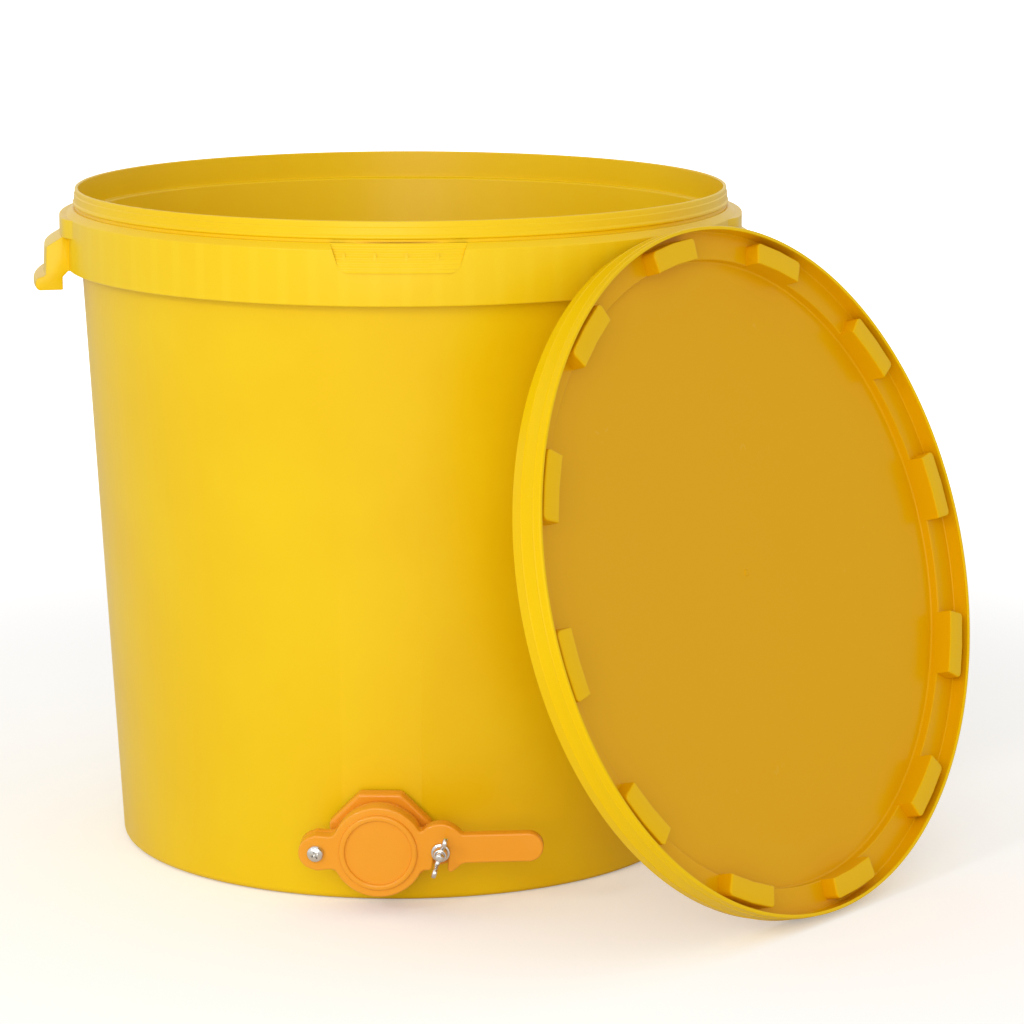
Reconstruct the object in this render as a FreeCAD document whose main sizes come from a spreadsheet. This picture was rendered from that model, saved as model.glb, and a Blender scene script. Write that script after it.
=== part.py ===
import FreeCAD, Part
import math
import os
import re
from types import SimpleNamespace

import Sketcher

# Honey tank: a moulded bucket with a double-walled collar and two grip ears, a pivoting honey gate
# bolted through its wall, and its lid, taken off and leaning against the collar.
# Row frame: origin at the centre of the base, +Z up, the gate faces -Y. Millimetres and degrees.

# Driving sizes: name, value, what it is
SIZES = [
    ("tank_height", 375.0, "floor to the top edge of the rim"),
    ("base_radius", 163.2, "outside of the wall, projected to the floor"),
    ("wall_draft", 3.17, "angle of the wall from upright"),
    ("wall", 2.3, "thickness of the wall"),
    ("floor_thickness", 3.0, "thickness of the bottom"),
    ("base_recess", 2.5, "height of the bottom above the foot ring"),
    ("foot_width", 8.0, "width of the foot ring"),
    ("base_hub_radius", 30.0, "flat disc in the middle of the base"),
    ("base_rib_count", 8.0, "ribs under the base"),
    ("base_rib_thickness", 2.0, "thickness of a rib under the base"),
    ("base_corner", 4.0, "outer corner between wall and foot"),
    ("floor_corner", 3.0, "inner corner between wall and bottom"),
    ("rim_stand", 1.3, "how far the upright rim stands outside the wall's line"),
    ("rim_wall", 2.4, "thickness of the rim"),
    ("rim_lead", 0.5, "how far the top of the rim is set in"),
    ("rim_lead_drop", 3.0, "height of the part of the rim that is set in"),
    ("rim_drop", 15.6, "rim's top edge down to the step inside the mouth"),
    ("rim_edge", 0.8, "rounding of the rim's top edge"),
    ("bead_stand", 0.7, "how far the snap bead stands out of the rim"),
    ("bead_drop", 8.0, "rim's top edge down to the middle of the bead"),
    ("bead_half", 1.0, "half the height of the bead"),
    ("groove_depth", 0.7, "depth of the groove under the bead"),
    ("shoulder_drop", 11.4, "rim's top edge down to the top of the shoulder"),
    ("shoulder_start", 0.8, "how far the shoulder starts outside the rim"),
    ("shoulder_height", 3.4, "height of the sloping shoulder"),
    ("collar_stand", 4.7, "how far the collar stands outside the rim"),
    ("collar_drop", 44.6, "rim's top edge down to the collar's lower edge"),
    ("collar_wall", 2.2, "thickness of the collar"),
    ("rib_count", 72.0, "webs between wall and collar"),
    ("rib_thickness", 1.4, "thickness of a web"),
    ("rib_gap", 4.0, "collar's lower edge up to the webs"),
    ("moulding_turn", 3.8, "turn of ears and thumb tab from the gate's direction"),
    ("pad_stand", 3.7, "how far the ear's pad stands out of the collar"),
    ("pad_height", 10.5, "height of the pad"),
    ("pad_half_angle", 17.6, "half the pad's length, as an angle"),
    ("ear_half_angle", 12.3, "half the ear's length, as an angle"),
    ("ear_reach", 12.4, "how far the ear's roof reaches out of the collar"),
    ("ear_roof_drop", 5.3, "fall of the ear's roof"),
    ("ear_draft", 1.0, "how much further out the ear's face is at its foot"),
    ("ear_hang", 10.4, "how far the ear hangs below the collar"),
    ("ear_wall", 2.4, "thickness of the ear's walls"),
    ("ear_lip", 5.4, "how far the finger roll stands out of the ear's face"),
    ("ear_lip_height", 6.6, "height of the finger roll"),
    ("tab_top_width", 72.0, "thumb tab across its top"),
    ("tab_low_width", 62.0, "thumb tab across its lower edge"),
    ("tab_height", 15.4, "height of the thumb tab"),
    ("tab_corner", 4.0, "rounding of its lower corners"),
    ("tab_inset", 3.2, "how far its top lies inside the collar"),
    ("tab_proud", 0.9, "how far its lower edge stands out of the collar"),
    ("tab_skin", 2.2, "thickness of the tab"),
    ("tab_ridge_count", 6.0, "grip ridges on the tab"),
    ("tab_ridge", 0.35, "height of a grip ridge"),
    ("gate_height", 36.3, "floor to the gate's axis, at the wall"),
    ("gate_bore", 17.5, "radius of the outlet"),
    ("nipple_radius", 20.9, "radius of the threaded nipple"),
    ("nipple_length", 17.0, "nipple inside the wall's outer face"),
    ("hole_gap", 0.5, "nipple to the hole in the wall"),
    ("thread_gap", 0.05, "screw thread to its nut, on the radius"),
    ("gasket_front", 2.2, "wall to the flange, on the gate's axis"),
    ("gasket_radius", 26.0, "outside of both gaskets"),
    ("gasket_gap", 0.2, "gasket to the nipple"),
    ("gasket_thin", 1.3, "inner gasket at its thinnest"),
    ("gasket_seat", 0.3, "gaskets to the curved wall"),
    ("flange_flats", 55.4, "octagonal flange across its flats"),
    ("flange_thickness", 8.0, "thickness of the flange"),
    ("flange_bevel", 1.6, "bevel round the flange's front"),
    ("neck_radius", 21.8, "neck between flange and plate"),
    ("neck_length", 4.8, "flange to the plate"),
    ("collar_ring_radius", 24.0, "ring round the neck"),
    ("collar_ring_width", 2.0, "width of that ring"),
    ("plate_radius", 25.3, "round plates of body and flap"),
    ("plate_thickness", 5.0, "thickness of the body's plate"),
    ("lug_depth", 5.0, "thickness of the body's two lugs"),
    ("lug_radius", 9.4, "round end of the body's lugs"),
    ("pivot_span", 33.7, "gate's axis to the pivot, half of the pivot to the clamp bolt"),
    ("flap_turn", 1.3, "angle of the flap from level while it stands on the clamp bolt"),
    ("seal_radius", 20.4, "middle of the face seal"),
    ("seal_thickness", 2.4, "width and depth of the seal's groove"),
    ("flap_gap", 0.3, "body's face to the flap"),
    ("flap_thickness", 8.0, "thickness of the flap's disc and lug"),
    ("flap_lug_radius", 9.4, "round end of the flap's lug"),
    ("plate_edge", 0.8, "bevel of the body's front edges"),
    ("ring_outer", 21.2, "raised ring on the flap, outside"),
    ("ring_inner", 18.0, "raised ring on the flap, inside"),
    ("ring_height", 1.6, "height of the raised ring"),
    ("shoulder_radius", 13.5, "round shoulder over the clamp slot"),
    ("shoulder_rise", 2.2, "middle of the shoulder above the clamp bolt"),
    ("prong_drop", 11.9, "clamp bolt down to the tips of the slot's prongs"),
    ("prong_width", 5.2, "width of the outer prong"),
    ("slot_gap", 1.5, "clamp bolt to the side of its slot"),
    ("handle_width", 16.0, "width of the handle"),
    ("handle_reach", 88.9, "gate's axis to the end of the handle"),
    ("handle_thickness", 6.0, "thickness of the handle, flush with the flap's front"),
    ("handle_rise", 1.4, "middle of the handle's root above the clamp bolt"),
    ("handle_slope", 1.0, "angle of the handle from the line through pivot and clamp bolt"),
    ("screw_radius", 2.5, "pivot screw's shank"),
    ("screw_head_radius", 4.5, "pan head of the pivot screw"),
    ("screw_head_height", 3.0, "height of the pan head"),
    ("screw_tail", 0.8, "pivot screw beyond its nut"),
    ("cross_length", 5.0, "cross recess from end to end"),
    ("cross_width", 1.1, "width of the cross recess"),
    ("cross_depth", 1.6, "depth of the cross recess"),
    ("washer_radius", 5.0, "washer under the pivot nut"),
    ("washer_thickness", 1.0, "thickness of that washer"),
    ("pivot_nut_flats", 8.0, "pivot nut across its flats"),
    ("pivot_nut_height", 4.0, "height of the pivot nut"),
    ("pivot_gap", 0.1, "pivot screw to the hole in the flap"),
    ("bolt_radius", 2.5, "clamp bolt's shank"),
    ("bolt_head_flats", 8.0, "clamp bolt's head across its flats"),
    ("bolt_head_height", 3.0, "height of the clamp bolt's head"),
    ("bolt_dome", 1.2, "height of the bolt's domed end"),
    ("bolt_proud", 3.0, "straight part of the bolt beyond the wing nut"),
    ("part_gap", 0.1, "bolts and head to the holes that hold them"),
    ("wing_gap", 0.3, "flap to the wing nut"),
    ("base_flange_radius", 5.1, "wing nut's flange"),
    ("base_flange_height", 1.3, "height of that flange"),
    ("hub_radius", 4.3, "wing nut's hub"),
    ("hub_height", 6.5, "height of the hub"),
    ("hub_taper", 0.7, "how much narrower the hub is at its front"),
    ("wing_reach", 11.9, "bolt's axis to the tip of a wing"),
    ("wing_thickness", 2.4, "thickness of a wing"),
    ("wing_tip_radius", 3.0, "round tip of a wing"),
    ("wing_rise", 6.2, "lowest point of a wing's tip above the hub's foot"),
    ("wing_angle", 72.0, "wings at rest, from level"),
    ("nut_flats", 54.0, "ring nut inside the tank, across its flats"),
    ("nut_thickness", 8.0, "thickness of the ring nut"),
    ("nut_bevel", 1.2, "bevel round the ring nut"),
    ("lid_play", 0.2, "bead to the lid's skirt, and rim to the lid's blocks"),
    ("lid_wall", 1.4, "thickness of the lid's skirt"),
    ("lid_skirt", 10.2, "ledge down to the lip"),
    ("lid_total", 19.8, "lip to the top of the ridge"),
    ("lid_skin", 2.0, "thickness of ledge and panel"),
    ("ledge_width", 15.4, "width of the ledge that sits on the rim"),
    ("panel_rise", 5.4, "ledge up to the panel"),
    ("lip_ring", 0.6, "how far the snap ring stands into the lid"),
    ("lip_ring_height", 1.0, "height of the snap ring"),
    ("band_low", 4.8, "lip up to the lower line round the skirt"),
    ("band_high", 13.0, "lip up to the upper line round the skirt"),
    ("band_line", 0.4, "how far the two lines stand out"),
    ("ridge_taper", 1.0, "how much narrower the ridge is at its top"),
    ("ridge_edge", 1.0, "rounding of the ridge's outer edge"),
    ("block_count", 12.0, "blocks that guide the rim"),
    ("block_length", 37.5, "length of a block along the rim"),
    ("block_height", 8.6, "height of a block"),
    ("block_turn", 23.2, "turn of the first block from the lid's top"),
    ("block_wall", 1.8, "wall left round a block's core"),
    ("lid_lean", 15.4, "lean of the lid from upright"),
    ("lid_direction", 53.7, "direction that the lid faces, from the gate's"),
    ("lid_gap", 0.3, "lid to the collar that it leans on"),
]


class Size:
    """A named size, or a sum made from named sizes: its value and the expression that gives it."""

    def __init__(self, value, text):
        self.value = value
        self.text = text

    def __add__(self, other):
        return joined(self, "+", other, self.value + number(other))

    def __radd__(self, other):
        return joined(other, "+", self, number(other) + self.value)

    def __sub__(self, other):
        return joined(self, "-", other, self.value - number(other))

    def __rsub__(self, other):
        return joined(other, "-", self, number(other) - self.value)

    def __mul__(self, other):
        return joined(self, "*", other, self.value * number(other))

    def __rmul__(self, other):
        return joined(other, "*", self, number(other) * self.value)

    def __truediv__(self, other):
        return joined(self, "/", other, self.value / number(other))

    def __neg__(self):
        return Size(-self.value, "(0 - %s)" % self.text)


def number(item):
    return item.value if isinstance(item, Size) else float(item)


def text(item):
    return item.text if isinstance(item, Size) else repr(item)


def joined(left, sign, right, value):
    return Size(value, "(%s %s %s)" % (text(left), sign, text(right)))


def cosine(angle):
    return Size(math.cos(math.radians(number(angle))), "cos(%s)" % text(angle))


def sine(angle):
    return Size(math.sin(math.radians(number(angle))), "sin(%s)" % text(angle))


def tangent(angle):
    return Size(math.tan(math.radians(number(angle))), "tan(%s)" % text(angle))


def half_angle_of(length, radius):
    """Half the angle that an arc of this length fills at this radius."""
    return length / radius * (90 / math.pi)


doc = FreeCAD.newDocument("HoneyTank")
sheet = doc.addObject("Spreadsheet::Sheet", "Sizes")
for row, (name, value, meaning) in enumerate(SIZES, start=1):
    sheet.set("A%d" % row, name)
    sheet.set("B%d" % row, str(value))
    sheet.setAlias("B%d" % row, name)
    sheet.set("C%d" % row, meaning)
doc.recompute()
s = SimpleNamespace(**{name: Size(float(sheet.get(name)), "Sizes." + name) for name, _, _ in SIZES})


# Building helpers

def bind(feature, target, item):
    """Give a property its value, and its expression when it comes from the sheet."""
    if isinstance(item, Size):
        feature.setExpression(target, item.text)


def bind_placement(thing, base=(0, 0, 0), turns=(0, 0, 0)):
    """Place a sub-part; turns are about Z, Y and X, in that order."""
    thing.Placement = FreeCAD.Placement(
        FreeCAD.Vector(*[number(item) for item in base]),
        FreeCAD.Rotation(*[number(item) for item in turns]),
    )
    vector = "create(<<vector>>; %s)" % "; ".join(text(item) for item in base)
    rotation = "create(<<rotation>>; %s)" % "; ".join(text(item) for item in turns)
    thing.setExpression("Placement", "create(<<placement>>; %s; %s)" % (vector, rotation))


def new_body(label):
    body = doc.addObject("PartDesign::Body", label)
    body.Label = label
    return body


def sketch_on(body, name, role, lift=0, turn=0):
    """A sketch on one of the body's origin planes, lifted off it and turned about its own upright."""
    sketch = body.newObject("Sketcher::SketchObject", name)
    plane = [item for item in body.Origin.OriginFeatures if item.Role == role][0]
    sketch.AttachmentSupport = [(plane, "")]
    sketch.MapMode = "FlatFace"
    sketch.AttachmentOffset = FreeCAD.Placement(
        FreeCAD.Vector(0, 0, number(lift)),
        FreeCAD.Rotation(FreeCAD.Vector(0, 1, 0), number(turn)),
    )
    bind(sketch, "AttachmentOffset.Base.z", lift)
    bind(sketch, "AttachmentOffset.Rotation.Angle", turn)
    return sketch


def fix_point(sketch, edge, place, corner):
    """Hold one point of a sketch at its coordinates."""
    for kind, item in zip(("DistanceX", "DistanceY"), corner):
        index = sketch.addConstraint(Sketcher.Constraint(kind, -1, 1, edge, place, number(item)))
        bind(sketch, "Constraints[%d]" % index, item)


def arc_between(start, end, radius):
    """The shorter arc from start to end; a positive radius turns left, a negative one right."""
    chord = end - start
    middle = start + chord * 0.5
    side = FreeCAD.Vector(-chord.y, chord.x, 0).normalize()
    height = math.sqrt(max(radius * radius - chord.Length * chord.Length / 4, 0))
    centre = middle + side * math.copysign(height, radius)
    first, last = (start, end) if radius > 0 else (end, start)
    angles = [math.atan2(point.y - centre.y, point.x - centre.x) for point in (first, last)]
    circle = Part.Circle(centre, FreeCAD.Vector(0, 0, 1), abs(radius))
    return Part.ArcOfCircle(circle, angles[0], angles[1])


def draw_outline(sketch, corners):
    """Close an outline through its corners; a third value makes the next side an arc of that radius."""
    points = [FreeCAD.Vector(number(corner[0]), number(corner[1]), 0) for corner in corners]
    offset = sketch.GeometryCount
    starts = []
    for index, corner in enumerate(corners):
        start, end = points[index], points[(index + 1) % len(points)]
        if len(corner) == 3:
            sketch.addGeometry(arc_between(start, end, number(corner[2])), False)
        else:
            sketch.addGeometry(Part.LineSegment(start, end), False)
        starts.append(2 if len(corner) == 3 and number(corner[2]) < 0 else 1)
    for index, corner in enumerate(corners):
        before = (index - 1) % len(corners)
        joint = Sketcher.Constraint(
            "Coincident", offset + before, 3 - starts[before], offset + index, starts[index]
        )
        sketch.addConstraint(joint)
        fix_point(sketch, offset + index, starts[index], corner[:2])
        if len(corner) == 3:
            radius = corner[2] if number(corner[2]) > 0 else -corner[2]
            curve = sketch.addConstraint(Sketcher.Constraint("Radius", offset + index, number(radius)))
            bind(sketch, "Constraints[%d]" % curve, radius)
    return sketch


def draw_circle(sketch, x, y, radius):
    centre = FreeCAD.Vector(number(x), number(y), 0)
    edge = sketch.addGeometry(Part.Circle(centre, FreeCAD.Vector(0, 0, 1), number(radius)), False)
    curve = sketch.addConstraint(Sketcher.Constraint("Radius", edge, number(radius)))
    bind(sketch, "Constraints[%d]" % curve, radius)
    fix_point(sketch, edge, 3, (x, y))
    return sketch


def rectangle(left, low, right, high):
    return [(left, low), (right, low), (right, high), (left, high)]


def polygon(flats, sides):
    """Corners of an even-sided nut, with a flat on top."""
    reach = flats / 2 / cosine(180 / sides)
    turns = [(index + 0.5) * 360 / sides - 90 for index in range(sides)]
    return [(reach * cosine(turn), reach * sine(turn)) for turn in turns]


def extrude(body, kind, name, sketch, length, both_ways=False, backwards=False):
    feature = body.newObject("PartDesign::" + kind, name)
    feature.Profile = sketch
    feature.Length = number(length)
    bind(feature, "Length", length)
    feature.SideType = "Symmetric" if both_ways else "One side"
    feature.Reversed = backwards
    return feature


def pad(body, name, sketch, length, both_ways=False, backwards=False):
    return extrude(body, "Pad", name, sketch, length, both_ways, backwards)


def pocket(body, name, sketch, length, both_ways=False, backwards=False):
    return extrude(body, "Pocket", name, sketch, length, both_ways, backwards)


def revolve(body, name, sketch, half_angle=None, cut=False):
    """Turn a profile about the sketch's upright: all the way round, or as far each way as given."""
    feature = body.newObject("PartDesign::" + ("Groove" if cut else "Revolution"), name)
    feature.Profile = sketch
    feature.ReferenceAxis = (sketch, ["V_Axis"])
    feature.Angle = 360.0
    if half_angle is not None:
        feature.Angle = 2 * number(half_angle)
        bind(feature, "Angle", half_angle * 2)
        feature.Midplane = True
    return feature


def around(body, name, features, count):
    """Repeat features evenly about the body's upright axis."""
    pattern = body.newObject("PartDesign::PolarPattern", name)
    pattern.Originals = features
    axis = [item for item in body.Origin.OriginFeatures if item.Role == "Z_Axis"][0]
    pattern.Axis = (axis, [""])
    pattern.Angle = 360.0
    pattern.Occurrences = int(number(count))
    bind(pattern, "Occurrences", count)
    body.Tip = pattern
    return pattern


def edges_of(body, wanted):
    """Names of the edges of a body's last feature for which wanted(edge) holds."""
    doc.recompute()
    edges = body.Tip.Shape.Edges
    return ["Edge%d" % (index + 1) for index, edge in enumerate(edges) if wanted(edge)]


def soften(body, kind, name, size, wanted):
    """Round or bevel the edges of the last feature for which wanted(edge) holds."""
    names = edges_of(body, wanted)
    rough = body.Tip
    feature = body.newObject("PartDesign::" + kind, name)
    feature.Base = (rough, names)
    target = "Radius" if kind == "Fillet" else "Size"
    setattr(feature, target, number(size))
    bind(feature, target, size)
    body.Tip = feature
    return feature


def lies_at(edge, height):
    """Whether an edge lies level at this height of its body."""
    box = edge.BoundBox
    return abs(box.ZMin - height) < 0.01 and abs(box.ZMax - height) < 0.01


def boolean(kind, label, base, tool):
    result = doc.addObject("Part::" + kind, label)
    result.Label = label
    result.Base = base
    result.Tool = tool
    return result


# Tank: heights and radii that several pieces share

def wall_outside(height):
    return s.base_radius + height * tangent(s.wall_draft)


floor_top = s.base_recess + s.floor_thickness
rim_radius = wall_outside(s.tank_height) + s.rim_stand
rim_inner = rim_radius - s.rim_wall
rim_top_radius = rim_radius - s.rim_lead
bead_radius = rim_radius + s.bead_stand
collar_radius = rim_radius + s.collar_stand
step_height = s.tank_height - s.rim_drop
shoulder_top = s.tank_height - s.shoulder_drop
shoulder_low = shoulder_top - s.shoulder_height
collar_low = s.tank_height - s.collar_drop
collar_inner = collar_radius - s.collar_wall
web_height = shoulder_low - s.wall
moulding = (s.moulding_turn, 0, 0)


def tank_profile():
    """Half section of the bucket: foot, wall, collar, shoulder, groove, bead, rim, inside."""
    bead = s.tank_height - s.bead_drop
    groove_top = bead - s.bead_half * 2
    groove_radius = rim_radius - s.groove_depth
    lead = s.tank_height - s.rim_lead_drop
    foot_inner = s.base_radius - s.foot_width
    inner_low = floor_top + s.floor_corner
    return [
        (foot_inner, 0),
        (s.base_radius - s.base_corner, 0, s.base_corner),
        (s.base_radius, s.base_corner),
        (wall_outside(web_height), web_height),
        (collar_inner, web_height),
        (collar_inner, collar_low),
        (collar_radius, collar_low),
        (collar_radius, shoulder_low),
        (rim_radius + s.shoulder_start, shoulder_top),
        (groove_radius, shoulder_top),
        (groove_radius, groove_top),
        (bead_radius, bead - s.bead_half),
        (bead_radius, bead),
        (rim_radius, bead + s.bead_half),
        (rim_radius, lead - s.rim_lead),
        (rim_top_radius, lead),
        (rim_top_radius, s.tank_height - s.rim_edge, s.rim_edge),
        (rim_top_radius - s.rim_edge, s.tank_height),
        (rim_inner + s.rim_edge, s.tank_height, s.rim_edge),
        (rim_inner, s.tank_height - s.rim_edge),
        (rim_inner, step_height),
        (wall_outside(step_height - s.rim_lead) - s.wall, step_height - s.rim_lead),
        (wall_outside(inner_low) - s.wall, inner_low, -s.floor_corner),
        (wall_outside(inner_low) - s.wall - s.floor_corner, floor_top),
        (0, floor_top),
        (0, s.base_recess),
        (foot_inner - s.base_recess, s.base_recess),
    ]


def add_base_ribs(body):
    """Hub and ribs under the bottom, level with the foot ring."""
    height = s.base_recess + s.floor_thickness / 2
    hub = draw_circle(sketch_on(body, "BaseHubCircle", "XY_Plane"), 0, 0, s.base_hub_radius)
    pad(body, "BaseHub", hub, height)
    reach = s.base_radius - s.foot_width + s.foot_width / 8
    half = s.base_rib_thickness / 2
    bar = rectangle(s.base_hub_radius / 2, -half, reach, half)
    rib = pad(body, "BaseRib", draw_outline(sketch_on(body, "BaseRibOutline", "XY_Plane"), bar), height)
    around(body, "BaseRibs", [rib], s.base_rib_count)


def add_collar_ribs(body):
    """Thin webs between the wall and the collar, seen from below."""
    low = collar_low + s.rib_gap
    corners = [
        (wall_outside(low) - s.wall / 2, low),
        (collar_inner + s.collar_wall / 2, low),
        (collar_inner + s.collar_wall / 2, web_height + s.wall / 2),
        (wall_outside(web_height) - s.wall / 2, web_height + s.wall / 2),
    ]
    sketch = draw_outline(sketch_on(body, "RibSection", "XZ_Plane"), corners)
    rib = pad(body, "Rib", sketch, s.rib_thickness, both_ways=True)
    around(body, "Ribs", [rib], s.rib_count)


def add_ears(body):
    """Two grip ears: a pad on the collar, and a channel open below with a finger roll at its foot."""
    root = collar_radius - s.collar_wall / 2
    pad_face = collar_radius + s.pad_stand
    pad_low = shoulder_low - s.pad_height
    pad_corners = rectangle(root, pad_low, pad_face, shoulder_low)
    pad_sketch = sketch_on(body, "PadSection", "XZ_Plane", turn=s.moulding_turn)
    ear_pad = revolve(body, "EarPad", draw_outline(pad_sketch, pad_corners), s.pad_half_angle)

    face = collar_radius + s.ear_reach
    face_foot = face + s.ear_draft
    roof = pad_low - s.ear_roof_drop
    foot = collar_low - s.ear_hang
    lip_top = foot + s.ear_lip_height
    round_lip = s.ear_lip_height * 0.6
    lip_edge = face_foot + s.ear_lip - s.ear_lip_height * 0.27
    inner_foot = collar_radius + s.pad_stand
    outer_corners = [
        (root, pad_low),
        (root, collar_low),
        (collar_radius, collar_low),
        (inner_foot, collar_low - s.pad_stand),
        (inner_foot, foot),
        (lip_edge, foot, round_lip),
        (lip_edge, lip_top, -s.ear_lip),
        (face_foot, lip_top + s.ear_lip / 2),
        (face, roof),
        (pad_face, pad_low),
    ]
    outer_sketch = sketch_on(body, "EarSection", "XZ_Plane", turn=s.moulding_turn)
    ear = revolve(body, "Ear", draw_outline(outer_sketch, outer_corners), s.ear_half_angle)

    inner_face = face - s.ear_wall
    inner_corners = [
        (collar_radius, foot - s.ear_wall),
        (face_foot - s.ear_wall, foot - s.ear_wall),
        (face_foot - s.ear_wall, lip_top),
        (inner_face, roof - s.ear_wall / 2),
        (pad_face, pad_low - s.ear_wall),
        (collar_radius, pad_low - s.ear_wall),
    ]
    end_wall = half_angle_of(s.ear_wall * 2, face)
    inner_sketch = sketch_on(body, "FingerSection", "XZ_Plane", turn=s.moulding_turn)
    finger = revolve(
        body, "FingerSpace", draw_outline(inner_sketch, inner_corners), s.ear_half_angle - end_wall, cut=True
    )
    around(body, "Ears", [ear_pad, ear, finger], 2)


def add_gate_hole(body):
    """Round hole through the wall, square to it."""
    sketch = sketch_on(body, "GateHoleSection", "XZ_Plane")
    wall_there = wall_outside(s.gate_height)
    sketch.AttachmentOffset = FreeCAD.Placement(
        FreeCAD.Vector(0, s.gate_height.value, wall_there.value),
        FreeCAD.Rotation(FreeCAD.Vector(1, 0, 0), s.wall_draft.value),
    )
    bind(sketch, "AttachmentOffset.Base.y", s.gate_height)
    bind(sketch, "AttachmentOffset.Base.z", wall_there)
    bind(sketch, "AttachmentOffset.Rotation.Angle", s.wall_draft)
    draw_circle(sketch, 0, 0, s.nipple_radius + s.hole_gap)
    pocket(body, "GateHole", sketch, s.wall * 8, both_ways=True)


def tab_outline_tool():
    """A block with the thumb tab's outline, from just outside the wall to beyond the collar."""
    body = new_body("tab_outline")
    depth = wall_outside(shoulder_top) + s.wall / 4
    low = shoulder_top - s.tab_height
    slope = (s.tab_top_width - s.tab_low_width) / 2 / s.tab_height
    half_low = s.tab_low_width / 2
    corners = [
        (half_low - s.tab_corner, low, s.tab_corner),
        (half_low + slope * s.tab_corner, low + s.tab_corner),
        (s.tab_top_width / 2, shoulder_top),
        (-s.tab_top_width / 2, shoulder_top),
        (-half_low - slope * s.tab_corner, low + s.tab_corner, s.tab_corner),
        (-half_low + s.tab_corner, low),
    ]
    sketch = draw_outline(sketch_on(body, "Outline", "XZ_Plane", lift=depth), corners)
    pad(body, "Block", sketch, collar_radius - depth + s.tab_proud * 4)
    bind_placement(body, turns=moulding)
    return body


def tab_ring():
    """The thumb tab's skin as a piece of a ring: a ramp with level grip ridges."""
    body = new_body("tab_ring")
    low = shoulder_top - s.tab_height
    top_face = collar_radius - s.tab_inset
    low_face = collar_radius + s.tab_proud
    count = int(s.tab_ridge_count.value)
    pitch = s.tab_height / s.tab_ridge_count
    fall = (low_face - top_face) / s.tab_ridge_count
    face = [(low_face, low)]
    for index in range(count - 1):
        upper = low + pitch * (index + 1)
        radius = low_face - fall * (index + 1)
        face.append((radius - s.tab_ridge / 2, upper - pitch / 2))
        face.append((radius + s.tab_ridge / 2, upper))
    face.append((top_face, shoulder_top))
    depth = wall_outside(shoulder_top)
    back = [
        (depth, shoulder_top),
        (depth, web_height),
        (top_face - s.tab_skin, web_height),
        (low_face - s.tab_skin, low),
    ]
    sketch = draw_outline(sketch_on(body, "RampSection", "XZ_Plane", turn=-90), face + back)
    revolve(body, "Ramp", sketch, half_angle_of(s.tab_top_width, top_face) * 1.25)
    bind_placement(body, turns=moulding)
    return body


def make_tank():
    shell = new_body("tank_shell")
    section = draw_outline(sketch_on(shell, "TankSection", "XZ_Plane"), tank_profile())
    revolve(shell, "Shell", section)
    add_base_ribs(shell)
    add_collar_ribs(shell)
    add_ears(shell)
    add_gate_hole(shell)
    outline = tab_outline_tool()
    opened = boolean("Cut", "tank_opened", shell, outline)
    skin = boolean("Common", "tab_skin_piece", tab_ring(), outline)
    return boolean("Fuse", "tank_body", opened, skin)


# Gate: its own frame has x to the viewer's right, y up the wall and z straight out of the wall

flange_front = s.gasket_front + s.flange_thickness
plate_back = flange_front + s.neck_length
gate_face = plate_back + s.plate_thickness
lug_back = gate_face - s.lug_depth
flap_back = gate_face + s.flap_gap
flap_front = flap_back + s.flap_thickness
wing_foot = flap_front + s.wing_gap
inner_flat = -(s.wall + s.gasket_radius * s.gasket_radius / s.base_radius / 2 + s.gasket_thin)
bolt_turn_radius = s.pivot_span * 2
bolt_x = bolt_turn_radius * cosine(s.flap_turn) - s.pivot_span
bolt_y = bolt_turn_radius * sine(s.flap_turn)


def place_on_gate(thing, x=0, out=0, turn=0, up=0):
    """Place a sub-part on the gate's frame: x along it, up the wall, out from it, turned about the axis."""
    wall_there = wall_outside(s.gate_height)
    base = (
        x,
        -wall_there - out * cosine(s.wall_draft) - up * sine(s.wall_draft),
        s.gate_height - out * sine(s.wall_draft) + up * cosine(s.wall_draft),
    )
    thing.Placement = FreeCAD.Placement(
        FreeCAD.Vector(*[number(item) for item in base]),
        FreeCAD.Rotation(FreeCAD.Vector(1, 0, 0), 90 + s.wall_draft.value)
        * FreeCAD.Rotation(FreeCAD.Vector(0, 0, 1), number(turn)),
    )
    vector = "create(<<vector>>; %s)" % "; ".join(text(item) for item in base)
    tilt = "create(<<rotation>>; create(<<vector>>; 1; 0; 0); %s)" % text(90 + s.wall_draft)
    spin = "create(<<rotation>>; create(<<vector>>; 0; 0; 1); %s)" % text(turn)
    thing.setExpression("Placement", "create(<<placement>>; %s; %s * %s)" % (vector, tilt, spin))


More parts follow.
